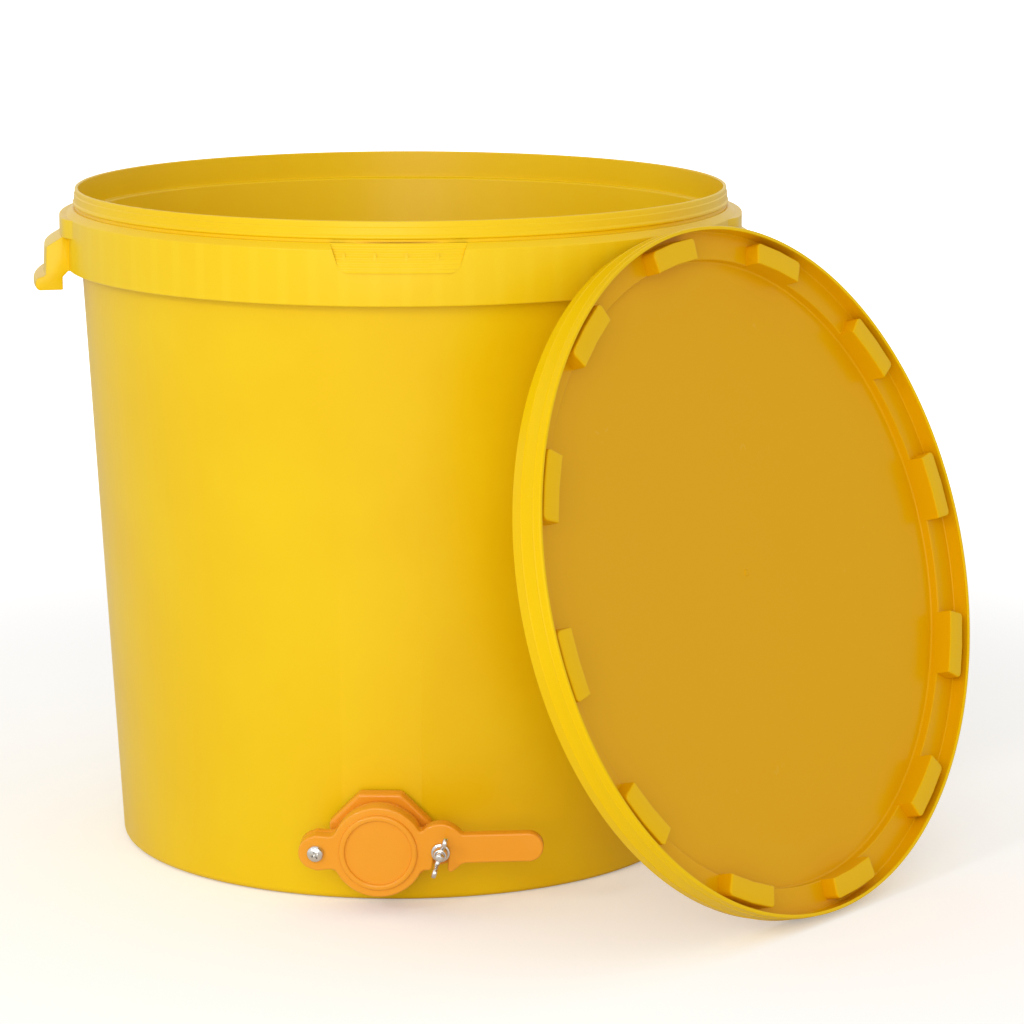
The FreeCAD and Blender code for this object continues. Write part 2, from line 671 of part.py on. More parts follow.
def make_gate_body():
    """One moulding: nipple, octagonal flange, ringed neck, and a plate with two lugs."""
    body = new_body("gate_body")
    flange = draw_outline(sketch_on(body, "FlangeOutline", "XY_Plane", s.gasket_front), polygon(s.flange_flats, 8))
    pad(body, "Flange", flange, s.flange_thickness)
    soften(body, "Chamfer", "FlangeBevel", s.flange_bevel, lambda edge: lies_at(edge, flange_front.value))
    neck = draw_circle(sketch_on(body, "NeckCircle", "XY_Plane", s.gasket_front), 0, 0, s.neck_radius)
    pad(body, "Neck", neck, gate_face - s.gasket_front)
    ring_back = flange_front + (s.neck_length - s.collar_ring_width) / 2
    ring = draw_circle(sketch_on(body, "RingCircle", "XY_Plane", ring_back), 0, 0, s.collar_ring_radius)
    pad(body, "Ring", ring, s.collar_ring_width)
    plate = draw_circle(sketch_on(body, "PlateCircle", "XY_Plane", plate_back), 0, 0, s.plate_radius)
    pad(body, "Plate", plate, s.plate_thickness)
    bridge = rectangle(-s.pivot_span, -s.lug_radius, s.pivot_span, s.lug_radius)
    sketch = draw_outline(sketch_on(body, "LugOutline", "XY_Plane", lug_back), bridge)
    pad(body, "LugBridge", sketch, s.lug_depth)
    for name, x, y in (("PivotLug", -s.pivot_span, 0), ("BoltLug", bolt_x, bolt_y)):
        end = draw_circle(sketch_on(body, name + "Circle", "XY_Plane", lug_back), x, y, s.lug_radius)
        pad(body, name, end, s.lug_depth)
    nipple = draw_circle(sketch_on(body, "NippleCircle", "XY_Plane", flange_front), 0, 0, s.nipple_radius)
    pad(body, "Nipple", nipple, s.nipple_length + flange_front, backwards=True)
    soften(body, "Chamfer", "PlateBevel", s.plate_edge, lambda edge: lies_at(edge, gate_face.value))
    bore = draw_circle(sketch_on(body, "BoreCircle", "XY_Plane", gate_face), 0, 0, s.gate_bore)
    pocket(body, "Bore", bore, s.nipple_length + gate_face * 2)
    groove = sketch_on(body, "SealGrooveCircles", "XY_Plane", gate_face)
    draw_circle(groove, 0, 0, s.seal_radius + s.seal_thickness / 2)
    draw_circle(groove, 0, 0, s.seal_radius - s.seal_thickness / 2)
    pocket(body, "SealGroove", groove, s.seal_thickness)
    screw_hole = draw_circle(
        sketch_on(body, "ScrewHoleCircle", "XY_Plane", gate_face), -s.pivot_span, 0, s.screw_radius + s.part_gap
    )
    pocket(body, "ScrewHole", screw_hole, s.lug_depth * 2)
    bolt_hole = draw_circle(
        sketch_on(body, "BoltHoleCircle", "XY_Plane", gate_face), bolt_x, bolt_y, s.bolt_radius + s.part_gap
    )
    pocket(body, "BoltHole", bolt_hole, s.lug_depth * 2)
    head = [(x + bolt_x, y + bolt_y) for x, y in polygon(s.bolt_head_flats + s.part_gap * 2, 6)]
    head_sketch = draw_outline(sketch_on(body, "HeadOutline", "XY_Plane", lug_back), head)
    pocket(body, "HeadRecess", head_sketch, s.bolt_head_height, backwards=True)
    place_on_gate(body)
    return body


def make_flap():
    """One moulding: disc, pivot lug, slotted shoulder and handle. Its frame starts at the pivot."""
    body = new_body("gate_flap")
    thick = s.flap_thickness
    disc = draw_circle(sketch_on(body, "DiscCircle", "XY_Plane"), s.pivot_span, 0, s.plate_radius)
    pad(body, "Disc", disc, thick)
    lug = draw_circle(sketch_on(body, "LugCircle", "XY_Plane"), 0, 0, s.flap_lug_radius)
    pad(body, "Lug", lug, thick)
    lug_bridge = rectangle(0, -s.flap_lug_radius, s.pivot_span, s.flap_lug_radius)
    pad(body, "LugBridge", draw_outline(sketch_on(body, "LugBridgeOutline", "XY_Plane"), lug_bridge), thick)
    bolt = bolt_turn_radius
    shoulder = draw_circle(sketch_on(body, "ShoulderCircle", "XY_Plane"), bolt, s.shoulder_rise, s.shoulder_radius)
    pad(body, "Shoulder", shoulder, thick)
    slot_half = s.bolt_radius + s.slot_gap
    prong = [
        (s.pivot_span, -s.prong_drop + s.slot_gap),
        (bolt - slot_half, -s.prong_drop + s.slot_gap),
        (bolt, -s.prong_drop),
        (bolt + slot_half + s.prong_width / 2, -s.prong_drop),
        (bolt + s.shoulder_radius, s.handle_rise - s.handle_width / 2 + s.slot_gap),
        (bolt + s.shoulder_radius, s.shoulder_rise),
        (s.pivot_span, s.shoulder_rise),
    ]
    pad(body, "Prongs", draw_outline(sketch_on(body, "ProngOutline", "XY_Plane"), prong), thick)
    half = s.handle_width / 2
    end_x = s.handle_reach + s.pivot_span - half
    end_y = s.handle_rise + (end_x - bolt) * tangent(s.handle_slope)
    across = (half * sine(s.handle_slope), half * cosine(s.handle_slope))
    handle = [
        (bolt + across[0] + s.prong_width, s.handle_rise - across[1]),
        (end_x + across[0], end_y - across[1]),
        (end_x - across[0], end_y + across[1]),
        (bolt - across[0] + s.prong_width, s.handle_rise + across[1]),
    ]
    behind = thick - s.handle_thickness
    grip = draw_outline(sketch_on(body, "HandleOutline", "XY_Plane", behind), handle)
    pad(body, "Handle", grip, s.handle_thickness)
    handle_end = draw_circle(sketch_on(body, "HandleEndCircle", "XY_Plane", behind), end_x, end_y, half)
    pad(body, "HandleEnd", handle_end, s.handle_thickness)
    slot_turn = 30
    outer = bolt_turn_radius + slot_half
    inner = bolt_turn_radius - slot_half
    slot = [
        (outer, 0, slot_half * 1.02),
        (inner, 0, -inner),
        (inner * cosine(slot_turn), -inner * sine(slot_turn)),
        (outer * cosine(slot_turn), -outer * sine(slot_turn), outer),
    ]
    slot_sketch = draw_outline(sketch_on(body, "SlotOutline", "XY_Plane"), slot)
    pocket(body, "Slot", slot_sketch, thick * 2, backwards=True)
    ring = sketch_on(body, "RaisedRingCircles", "XY_Plane", thick / 2)
    draw_circle(ring, s.pivot_span, 0, s.ring_outer)
    draw_circle(ring, s.pivot_span, 0, s.ring_inner)
    pad(body, "RaisedRing", ring, s.ring_height + thick / 2)
    ring_top = thick + s.ring_height
    soften(body, "Chamfer", "RingBevel", s.ring_height / 2, lambda edge: lies_at(edge, ring_top.value))
    hole = draw_circle(sketch_on(body, "PivotHoleCircle", "XY_Plane"), 0, 0, s.screw_radius + s.pivot_gap)
    pocket(body, "PivotHole", hole, thick * 2, backwards=True)
    place_on_gate(body, -s.pivot_span, flap_back, turn=s.flap_turn)
    return body


def make_seal():
    """Square-section rubber ring in the groove of the gate's face."""
    body = new_body("face_seal")
    half = s.seal_thickness / 2 - s.part_gap
    section = rectangle(s.seal_radius - half, -s.seal_thickness, s.seal_radius + half, 0)
    revolve(body, "Ring", draw_outline(sketch_on(body, "SealSection", "XZ_Plane"), section))
    place_on_gate(body, 0, gate_face)
    return body


def cylinder(label, radius, height, out):
    """A plain cylinder on the gate's axis, from out, away from the wall."""
    solid = doc.addObject("Part::Cylinder", label)
    solid.Radius = number(radius)
    solid.Height = number(height)
    bind(solid, "Radius", radius)
    bind(solid, "Height", height)
    place_on_gate(solid, 0, out)
    return solid


def wall_cone(label, inset):
    """The wall's outer or inner surface as a solid cone as high as the tank."""
    cone = doc.addObject("Part::Cone", label)
    low = s.base_radius - inset
    high = wall_outside(s.tank_height) - inset
    cone.Radius1 = low.value
    cone.Radius2 = high.value
    cone.Height = s.tank_height.value
    bind(cone, "Radius1", low)
    bind(cone, "Radius2", high)
    bind(cone, "Height", s.tank_height)
    return cone


def make_gaskets():
    """Rubber rings, flat on the gate's side and curved to the wall on the other."""
    inside_radius = s.nipple_radius + s.gasket_gap
    reach = s.gasket_radius / 2
    outer_ring = boolean(
        "Cut",
        "outer_ring",
        cylinder("outer_disc", s.gasket_radius, reach + s.gasket_front, -reach),
        cylinder("outer_eye", inside_radius, reach * 4, -reach * 2),
    )
    outer = boolean("Cut", "outer_gasket", outer_ring, wall_cone("wall_outer_cone", -s.gasket_seat))
    inner_ring = boolean(
        "Cut",
        "inner_ring",
        cylinder("inner_disc", s.gasket_radius, reach, inner_flat),
        cylinder("inner_eye", inside_radius, reach * 4, -reach * 2),
    )
    inner = boolean("Common", "inner_gasket", inner_ring, wall_cone("wall_inner_cone", s.wall + s.gasket_seat))
    return outer, inner


def make_ring_nut():
    """Octagonal nut on the nipple, inside the tank."""
    body = new_body("ring_nut")
    sketch = draw_outline(sketch_on(body, "NutOutline", "XY_Plane"), polygon(s.nut_flats, 8))
    pad(body, "Nut", sketch, s.nut_thickness)
    soften(body, "Chamfer", "NutBevel", s.nut_bevel, lambda edge: lies_at(edge, 0.0))
    eye = draw_circle(sketch_on(body, "NutEye", "XY_Plane"), 0, 0, s.nipple_radius + s.thread_gap)
    pocket(body, "NutBore", eye, s.nut_thickness * 2, backwards=True)
    place_on_gate(body, 0, inner_flat - s.nut_thickness)
    return body


def make_pivot_screw():
    """Pan-head screw with a cross recess. Its frame starts under the head."""
    body = new_body("pivot_screw")
    shank_length = flap_front - lug_back + s.washer_thickness + s.pivot_nut_height + s.screw_tail + s.wing_gap
    dome = (s.screw_head_radius * s.screw_head_radius + s.screw_head_height * s.screw_head_height)
    crown = dome / 2 / s.screw_head_height * 1.15
    top = s.screw_head_height
    side = s.screw_head_height * 0.4
    flat = s.screw_head_radius / 3
    corners = [
        (0, -shank_length),
        (s.screw_radius, -shank_length),
        (s.screw_radius, 0),
        (s.screw_head_radius, 0),
        (s.screw_head_radius, side, crown),
        (flat, top),
        (0, top),
    ]
    revolve(body, "Screw", draw_outline(sketch_on(body, "ScrewSection", "XZ_Plane"), corners))
    for name, wide, high in (
        ("CrossLevel", s.cross_length, s.cross_width),
        ("CrossUpright", s.cross_width, s.cross_length),
    ):
        sketch = sketch_on(body, name + "Outline", "XY_Plane", top)
        draw_outline(sketch, rectangle(-wide / 2, -high / 2, wide / 2, high / 2))
        pocket(body, name, sketch, s.cross_depth)
    place_on_gate(body, -s.pivot_span, wing_foot, s.wing_angle / 3)
    return body


def make_pivot_washer():
    body = new_body("pivot_washer")
    sketch = sketch_on(body, "WasherCircles", "XY_Plane")
    draw_circle(sketch, 0, 0, s.washer_radius)
    draw_circle(sketch, 0, 0, s.screw_radius + s.part_gap)
    pad(body, "Washer", sketch, s.washer_thickness)
    place_on_gate(body, -s.pivot_span, lug_back - s.washer_thickness)
    return body


def make_pivot_nut():
    body = new_body("pivot_nut")
    sketch = draw_outline(sketch_on(body, "NutOutline", "XY_Plane"), polygon(s.pivot_nut_flats, 6))
    draw_circle(sketch, 0, 0, s.screw_radius + s.thread_gap)
    pad(body, "Nut", sketch, s.pivot_nut_height)
    place_on_gate(body, -s.pivot_span, lug_back - s.washer_thickness - s.pivot_nut_height)
    return body


def make_clamp_bolt():
    """Hexagon-head bolt held in the lug, with a domed end. Its frame starts at the back of the head."""
    body = new_body("clamp_bolt")
    head = draw_outline(sketch_on(body, "HeadOutline", "XY_Plane"), polygon(s.bolt_head_flats, 6))
    pad(body, "Head", head, s.bolt_head_height)
    straight = wing_foot + s.hub_height + s.bolt_proud - lug_back
    crown = (s.bolt_radius * s.bolt_radius + s.bolt_dome * s.bolt_dome) / 2 / s.bolt_dome
    corners = [
        (0, s.bolt_head_height / 2),
        (s.bolt_radius, s.bolt_head_height / 2),
        (s.bolt_radius, straight, crown),
        (0, straight + s.bolt_dome),
    ]
    revolve(body, "Shank", draw_outline(sketch_on(body, "ShankSection", "XZ_Plane"), corners))
    place_on_gate(body, bolt_x, lug_back, up=bolt_y)
    return body


def make_wing_nut():
    """Round hub with two rising wings. Its frame starts at the hub's foot, wings along x."""
    body = new_body("wing_nut")
    hub = [
        (s.bolt_radius / 2, 0),
        (s.base_flange_radius, 0),
        (s.base_flange_radius, s.base_flange_height),
        (s.hub_radius, s.base_flange_height),
        (s.hub_radius - s.hub_taper, s.hub_height),
        (s.bolt_radius / 2, s.hub_height),
    ]
    revolve(body, "Hub", draw_outline(sketch_on(body, "HubSection", "XZ_Plane"), hub))
    tip = s.wing_tip_radius
    tip_x = s.wing_reach - tip
    root = s.bolt_radius + s.hub_taper
    wing = [
        (root, s.base_flange_height),
        (s.hub_radius, s.base_flange_height),
        (tip_x, s.wing_rise - tip / 2),
        (tip_x + tip, s.wing_rise + tip, tip),
        (tip_x, s.wing_rise + tip * 2, tip),
        (tip_x - tip / 2, s.wing_rise + tip * 1.5),
        (s.hub_radius - s.hub_taper, s.hub_height - s.hub_taper),
        (root, s.hub_height - s.hub_taper),
    ]
    sketch = draw_outline(sketch_on(body, "WingOutline", "XZ_Plane"), wing)
    plate = pad(body, "Wing", sketch, s.wing_thickness, both_ways=True)
    around(body, "Wings", [plate], 2)
    eye = draw_circle(sketch_on(body, "NutEye", "XY_Plane"), 0, 0, s.bolt_radius + s.part_gap)
    pocket(body, "Eye", eye, s.hub_height * 3, both_ways=True)
    place_on_gate(body, bolt_x, wing_foot, s.wing_angle, bolt_y)
    return body


# Lid: its own frame has z up as it sits on the tank, starting at the lip

lid_inner = bead_radius + s.lid_play
lid_outer = lid_inner + s.lid_wall
ledge_inner = lid_inner - s.ledge_width
block_outer = rim_inner - s.lid_play * 2


def lid_profile():
    """Half section of the lid: snap ring, skirt, two lines, ridge, moat, wall and panel."""
    ledge_top = s.lid_skirt + s.lid_skin
    panel_low = s.lid_skirt + s.panel_rise
    panel_top = panel_low + s.lid_skin
    top_outer = lid_outer - s.ridge_taper
    line = s.band_line
    return [
        (lid_inner - s.lip_ring, 0),
        (lid_outer - line, 0),
        (lid_outer, line),
        (lid_outer, s.band_low - line),
        (lid_outer + line, s.band_low),
        (lid_outer, s.band_low + line),
        (lid_outer, s.band_high - line),
        (lid_outer + line, s.band_high),
        (lid_outer, s.band_high + line),
        (top_outer, s.lid_total - s.ridge_edge, s.ridge_edge),
        (top_outer - s.ridge_edge, s.lid_total),
        (lid_inner - s.ridge_taper, s.lid_total),
        (lid_inner - s.ridge_taper, ledge_top),
        (ledge_inner + s.lid_skin, ledge_top),
        (ledge_inner + s.lid_skin, panel_top),
        (0, panel_top),
        (0, panel_low),
        (ledge_inner, panel_low),
        (ledge_inner, s.lid_skirt),
        (lid_inner, s.lid_skirt),
        (lid_inner, s.lip_ring_height + s.lip_ring),
        (lid_inner - s.lip_ring, s.lip_ring_height),
    ]


def make_lid():
    body = new_body("lid")
    revolve(body, "Cover", draw_outline(sketch_on(body, "LidSection", "XZ_Plane"), lid_profile()))
    foot = s.lid_skirt - s.block_height
    half_turn = half_angle_of(s.block_length, block_outer)
    block = rectangle(ledge_inner, foot, block_outer, s.lid_skirt + s.lid_skin / 2)
    block_sketch = draw_outline(sketch_on(body, "BlockSection", "XZ_Plane", turn=s.block_turn), block)
    solid = revolve(body, "Block", block_sketch, half_turn)
    core = rectangle(
        ledge_inner + s.lid_skin,
        foot + s.block_wall,
        block_outer - s.block_wall,
        s.lid_skirt + s.lid_skin * 2,
    )
    core_sketch = draw_outline(sketch_on(body, "CoreSection", "XZ_Plane", turn=s.block_turn), core)
    core_turn = half_angle_of(s.block_length - s.block_wall * 2, block_outer)
    hollow = revolve(body, "BlockCore", core_sketch, core_turn, cut=True)
    around(body, "Blocks", [solid, hollow], s.block_count)
    lean_against_collar(body)
    return body


def section_wire(corners, placement):
    """A half section's outline as straight lines in the upright plane, to measure distances with."""
    points = [FreeCAD.Vector(number(corner[0]), 0, number(corner[1])) for corner in corners]
    wire = Part.makePolygon(points + points[:1])
    wire.Placement = placement
    return wire


def lean_against_collar(body):
    """Stand the lid on its ridge's edge and slide it in until it nearly touches the collar."""
    edge = s.ridge_edge.value
    ridge_radius = (lid_outer - s.ridge_taper).value - edge
    ridge_height = s.lid_total.value - edge
    lean = math.radians(s.lid_lean.value)
    height = ridge_height * math.sin(lean) + ridge_radius * math.cos(lean) + edge
    lean_turn = FreeCAD.Rotation(FreeCAD.Vector(0, 1, 0), -(90 + s.lid_lean.value))
    tank = section_wire(tank_profile(), FreeCAD.Placement())
    distance = 2 * (collar_radius + s.lid_total + lid_outer).value
    for _ in range(60):
        place = FreeCAD.Placement(FreeCAD.Vector(distance, 0, height), lean_turn)
        free = tank.distToShape(section_wire(lid_profile(), place))[0] - s.lid_gap.value
        distance -= free
        if abs(free) < 1e-4:
            break
    direction = math.radians(s.lid_direction.value)
    base = FreeCAD.Vector(distance * math.sin(direction), -distance * math.cos(direction), height)
    body.Placement = FreeCAD.Placement(
        base, FreeCAD.Rotation(s.lid_direction.value, 0, -(90 + s.lid_lean.value))
    )
    print("lid stands %.2f mm from the axis, %.2f mm up" % (distance, height))


# Build, check and write every sub-part

def check_and_write(pieces):
    doc.recompute()
    for item in doc.Objects:
        if {"Invalid", "Error"} & set(item.State):
            raise RuntimeError("%s failed: %s" % (item.Name, item.State))
    os.makedirs("parts", exist_ok=True)
    for piece in pieces:
        shape = piece.Shape
        if shape.isNull() or not shape.isValid() or len(shape.Solids) != 1:
            raise RuntimeError("%s has no single valid solid" % piece.Label)
        box = shape.BoundBox
        shape.exportStep("parts/%s.step" % piece.Label)
        print(
            "%-14s %9.1f mm3  %4d faces  x %.1f..%.1f  y %.1f..%.1f  z %.1f..%.1f"
            % (piece.Label, shape.Volume, len(shape.Faces), box.XMin, box.XMax, box.YMin, box.YMax, box.ZMin, box.ZMax)
        )


tank_body = make_tank()
outer_gasket, inner_gasket = make_gaskets()
check_and_write(
    [
        tank_body,
        make_gate_body(),
        outer_gasket,
        inner_gasket,
        make_ring_nut(),
        make_seal(),
        make_flap(),
        make_pivot_screw(),
        make_pivot_washer(),
        make_pivot_nut(),
        make_clamp_bolt(),
        make_wing_nut(),
        make_lid(),
    ]
)
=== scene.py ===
import math

import bmesh
import bpy
import numpy as np
from mathutils import Matrix, Vector


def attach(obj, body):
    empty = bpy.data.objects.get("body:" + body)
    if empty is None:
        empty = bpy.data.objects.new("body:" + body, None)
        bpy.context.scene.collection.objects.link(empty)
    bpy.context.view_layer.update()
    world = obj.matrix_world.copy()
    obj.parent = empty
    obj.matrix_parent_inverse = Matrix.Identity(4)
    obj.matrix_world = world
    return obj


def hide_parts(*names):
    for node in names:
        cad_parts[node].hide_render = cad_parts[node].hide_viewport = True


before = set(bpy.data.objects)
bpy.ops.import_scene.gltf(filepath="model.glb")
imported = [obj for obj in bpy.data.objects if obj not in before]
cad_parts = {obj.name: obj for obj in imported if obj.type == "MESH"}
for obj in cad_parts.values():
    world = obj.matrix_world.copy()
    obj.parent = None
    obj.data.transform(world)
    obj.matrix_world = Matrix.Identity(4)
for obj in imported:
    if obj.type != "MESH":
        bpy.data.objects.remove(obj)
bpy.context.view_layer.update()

# Sizes in millimetres, in the row frame: origin at the centre of the base, the gate faces -Y

MM = 0.001
HEIGHT = 375.0
BASE_RADIUS = 163.2
DRAFT = math.radians(3.17)
WALL = 2.3
COLLAR = 189.97
RIM = 185.27
COLLAR_LOW = 330.4
SHOULDER_LOW = 360.2
SHOULDER_TOP = 363.6
RIBS = 72
MOULDING_TURN = math.radians(3.8)
TAB_TOP = 363.6
TAB_LOW = 348.2
TAB_TOP_HALF = 36
TAB_LOW_HALF = 31
TAB_CORNER = 4.0
TAB_INNER = 183.3
WEB_THICKNESS = 1.4
EAR_JOIN = 188.9
EAR_BACK = 193.7
EAR_ROLL = 208.8
EAR_FRONT = 202.4
EAR_LOW = 320.0
PAD_LOW = 349.7
OUTLET_HOLE = 21.4
OUTLET_BORE = 17.5
SCREW_HOLE = 2.6
GATE_HEIGHT = 36.3
FLANGE_FRONT = 10.2
PLATE_BACK = 15.0
GATE_FACE = 20.0
FLAP_BACK = 20.3
FLAP_THICKNESS = 8.0
HANDLE_THICKNESS = 6.0
WING_FOOT = 28.6
PLATE_RADIUS = 25.3
LUG_RADIUS = 9.4
PIVOT_SPAN = 33.7
SLOT_MIDDLE = 2 * PIVOT_SPAN
SLOT_HALF = 4.0
FLAP_TURN = math.radians(1.3)
BOLT_X = PIVOT_SPAN * (2 * math.cos(FLAP_TURN) - 1)
BOLT_Y = PIVOT_SPAN * 2 * math.sin(FLAP_TURN)
LID_INNER = 186.17
LID_OUTER = 187.57
LID_TOTAL = 19.8
LEDGE_INNER = 170.77
BLOCK_OUTER = 182.4
BLOCK_LENGTH = 37.5
BLOCK_TURN = math.radians(23.2)
LID_SKIRT = 10.2
LID_LEAN = math.radians(15.4)
LID_DIRECTION = math.radians(53.7)
LID_DISTANCE = 258.64
LID_HEIGHT = 184.90


def wall_outside(height):
    return BASE_RADIUS + height * math.tan(DRAFT)


# Outlines: lists of (x, y) points, closed, counter-clockwise

def rounded(corners, steps=4):
    """Round each corner (x, y, radius) of a closed outline; a corner without a radius stays sharp."""
    points = []
    count = len(corners)
    for index, corner in enumerate(corners):
        here = Vector(corner[:2])
        radius = corner[2] if len(corner) > 2 else 0
        if radius <= 0:
            points.append(tuple(here))
            continue
        back = Vector(corners[index - 1][:2]) - here
        ahead = Vector(corners[(index + 1) % count][:2]) - here
        half = back.angle(ahead) / 2
        reach = min(radius / math.tan(half), back.length * 0.49, ahead.length * 0.49)
        start = here + back.normalized() * reach
        end = here + ahead.normalized() * reach
        size = reach * math.tan(half)
        middle = here + (back.normalized() + ahead.normalized()).normalized() * size / math.sin(half)
        first, last = start - middle, end - middle
        turn = first.angle_signed(last) if first.length > 1e-6 else 0
        for step in range(steps + 1):
            arm = first.copy()
            arm.rotate(Matrix.Rotation(-turn * step / steps, 2))
            points.append(tuple(middle + arm))
    return points


def circle(x, y, radius, steps=64):
    turns = [2 * math.pi * step / steps for step in range(steps)]
    return [(x + radius * math.cos(turn), y + radius * math.sin(turn)) for turn in turns]


def polygon(flats, sides, radius=0):
    reach = flats / 2 / math.cos(math.pi / sides)
    turns = [2 * math.pi * (side + 0.5) / sides - math.pi / 2 for side in range(sides)]
    return [(reach * math.cos(turn), reach * math.sin(turn), radius) for turn in turns]


def inset(points, amount):
    """Move every point of a closed outline inwards by the amount."""
    result = []
    count = len(points)
    for index, point in enumerate(points):
        before, after = points[index - 1], points[(index + 1) % count]
        dx, dy = after[0] - before[0], after[1] - before[1]
        length = math.hypot(dx, dy) or 1
        result.append((point[0] - dy / length * amount, point[1] + dx / length * amount))
    return result


# Distance fields for outlines that run into each other with small fillets

def disc_field(x, y, radius):
    return lambda px, py: np.hypot(px - x, py - y) - radius


def bar_field(start, end, radius):
    """A straight bar with round ends."""
    dx, dy = end[0] - start[0], end[1] - start[1]
    length = dx * dx + dy * dy

    def field(px, py):
        along = np.clip(((px - start[0]) * dx + (py - start[1]) * dy) / length, 0, 1)
        return np.hypot(px - start[0] - along * dx, py - start[1] - along * dy) - radius
    return field


def polygon_field(corners, radius=0):
    """A convex polygon given counter-clockwise, with round corners."""
    def field(px, py):
        inside = np.full(px.shape, -1e9)
        outside = np.full(px.shape, 1e9)
        for index, corner in enumerate(corners):
            end = corners[(index + 1) % len(corners)]
            dx, dy = end[0] - corner[0], end[1] - corner[1]
            length = math.hypot(dx, dy)
            side = ((px - corner[0]) * dy - (py - corner[1]) * dx) / length
            along = np.clip(((px - corner[0]) * dx + (py - corner[1]) * dy) / length ** 2, 0, 1)
            near = np.hypot(px - corner[0] - along * dx, py - corner[1] - along * dy)
            inside = np.maximum(inside, side)
            outside = np.minimum(outside, near)
        return np.where(inside < 0, -outside, outside) - radius
    return field


def blend_fields(fields, fillet):
    """Join fields, with fillets where they meet."""
    def field(px, py):
        result = fields[0](px, py)
        for other in fields[1:]:
            value = other(px, py)
            mix = np.clip(0.5 + 0.5 * (value - result) / fillet, 0, 1)
            result = value * (1 - mix) + result * mix - fillet * mix * (1 - mix)
        return result
    return field


def cut_field(base, tool, edge):
    """Take one field out of another, with softly rounded lips."""
    def field(px, py):
        first, second = base(px, py), -tool(px, py)
        mix = np.clip(0.5 - 0.5 * (second - first) / edge, 0, 1)
        return second * (1 - mix) + first * mix + edge * mix * (1 - mix)
    return field


def trace(field, box, step=0.5):
    """Follow the zero line of a field; gives closed outlines."""
    xs = np.arange(box[0], box[2] + step, step)
    ys = np.arange(box[1], box[3] + step, step)
    grid_x, grid_y = np.meshgrid(xs, ys, indexing="ij")
    values = field(grid_x, grid_y)
    links = {}

    def crossing(i, j, k, l):
        first, second = values[i, j], values[k, l]
        share = first / (first - second)
        return (xs[i] + (xs[k] - xs[i]) * share, ys[j] + (ys[l] - ys[j]) * share)

    spots = {}
    for i in range(len(xs) - 1):
        for j in range(len(ys) - 1):
            cell = [(i, j), (i + 1, j), (i + 1, j + 1), (i, j + 1)]
            inside = [values[spot] < 0 for spot in cell]
            if all(inside) or not any(inside):
                continue
            starts, ends = [], []
            for side in range(4):
                here, there = cell[side], cell[(side + 1) % 4]
                if inside[side] != inside[(side + 1) % 4]:
                    key = tuple(sorted((here, there)))
                    spots[key] = crossing(*here, *there)
                    (ends if inside[side] else starts).append(key)
            for start, end in zip(starts, ends):
                links[end] = start
    loops = []
    while links:
        key = next(iter(links))
        loop = []
        while key in links:
            loop.append(spots[key])
            key = links.pop(key)
        loops.append(thinned(loop, step * 0.4))
    return [loop for loop in loops if len(loop) > 8]


def thinned(loop, spacing):
    """Drop points that lie closer to the one before than the spacing."""
    kept = [loop[0]]
    for point in loop[1:]:
        if math.dist(point, kept[-1]) > spacing and math.dist(point, loop[0]) > spacing:
            kept.append(point)
    return kept


# Meshes

def build(name, verts, faces, place=None, sharp=35):
    """A mesh object from points in millimetres, placed in the row frame."""
    mesh = bpy.data.meshes.new(name)
    moved = [Vector(vert) if place is None else place @ Vector(vert) for vert in verts]
    mesh.from_pydata([vert * MM for vert in moved], [], faces)
    tidy = bmesh.new()
    tidy.from_mesh(mesh)
    bmesh.ops.remove_doubles(tidy, verts=tidy.verts, dist=0.000002)
    bmesh.ops.dissolve_degenerate(tidy, edges=tidy.edges, dist=0.000001)
    bmesh.ops.recalc_face_normals(tidy, faces=tidy.faces)
    tidy.to_mesh(mesh)
    tidy.free()
    piece = bpy.data.objects.new(name, mesh)
    bpy.context.scene.collection.objects.link(piece)
    smooth(piece, sharp)
    return piece


def smooth(piece, sharp=35):
    piece.data.shade_smooth()
    piece.data.set_sharp_from_angle(angle=math.radians(sharp))


def revolve(profile, steps):
    """Turn a closed (radius, height) outline about Z. Angles run from -Y towards +X."""
    verts, faces = [], []
    for column in range(steps):
        turn = 2 * math.pi * column / steps
        verts += [(r * math.sin(turn), -r * math.cos(turn), z) for r, z in profile]
    size = len(profile)
    for column in range(steps):
        here, there = column * size, (column + 1) % steps * size
        for row in range(size):
            after = (row + 1) % size
            if profile[row][0] < 1e-6 and profile[after][0] < 1e-6:
                continue
            faces.append((here + row, there + row, there + after, here + after))
    return verts, faces


def merge(*parts):
    verts, faces = [], []
    for part_verts, part_faces in parts:
        offset = len(verts)
        verts += part_verts
        faces += [tuple(index + offset for index in face) for face in part_faces]
    return verts, faces


def stack(loops):
    """Skin a stack of outlines of equal length, given as lists of 3-D points, and close both ends."""
    verts, faces = [], []
    size = len(loops[0])
    for loop in loops:
        verts += loop
    for level in range(len(loops) - 1):
        low, high = level * size, (level + 1) * size
        for index in range(size):
            after = (index + 1) % size
            faces.append((low + index, low + after, high + after, high + index))
    faces.append(tuple(reversed(range(size))))
    faces.append(tuple(range(len(verts) - size, len(verts))))
    return verts, faces


def slab(points, low, high, front=0.8, back=0.3, steps=4):
    """A plate between two heights, with rounded front and back edges and a flat border round each face."""
    levels = [(back + 0.25, low)]
    for step in range(steps + 1):
        turn = math.pi / 2 * step / steps
        levels.append((back * (1 - math.sin(turn)), low + back * (1 - math.cos(turn))))
    for step in range(steps + 1):
        turn = math.pi / 2 * step / steps
        levels.append((front * (1 - math.cos(turn)), high - front * (1 - math.sin(turn))))
    levels.append((front + 0.25, high))
    return stack([[(x, y, z) for x, y in inset(points, amount)] for amount, z in levels])


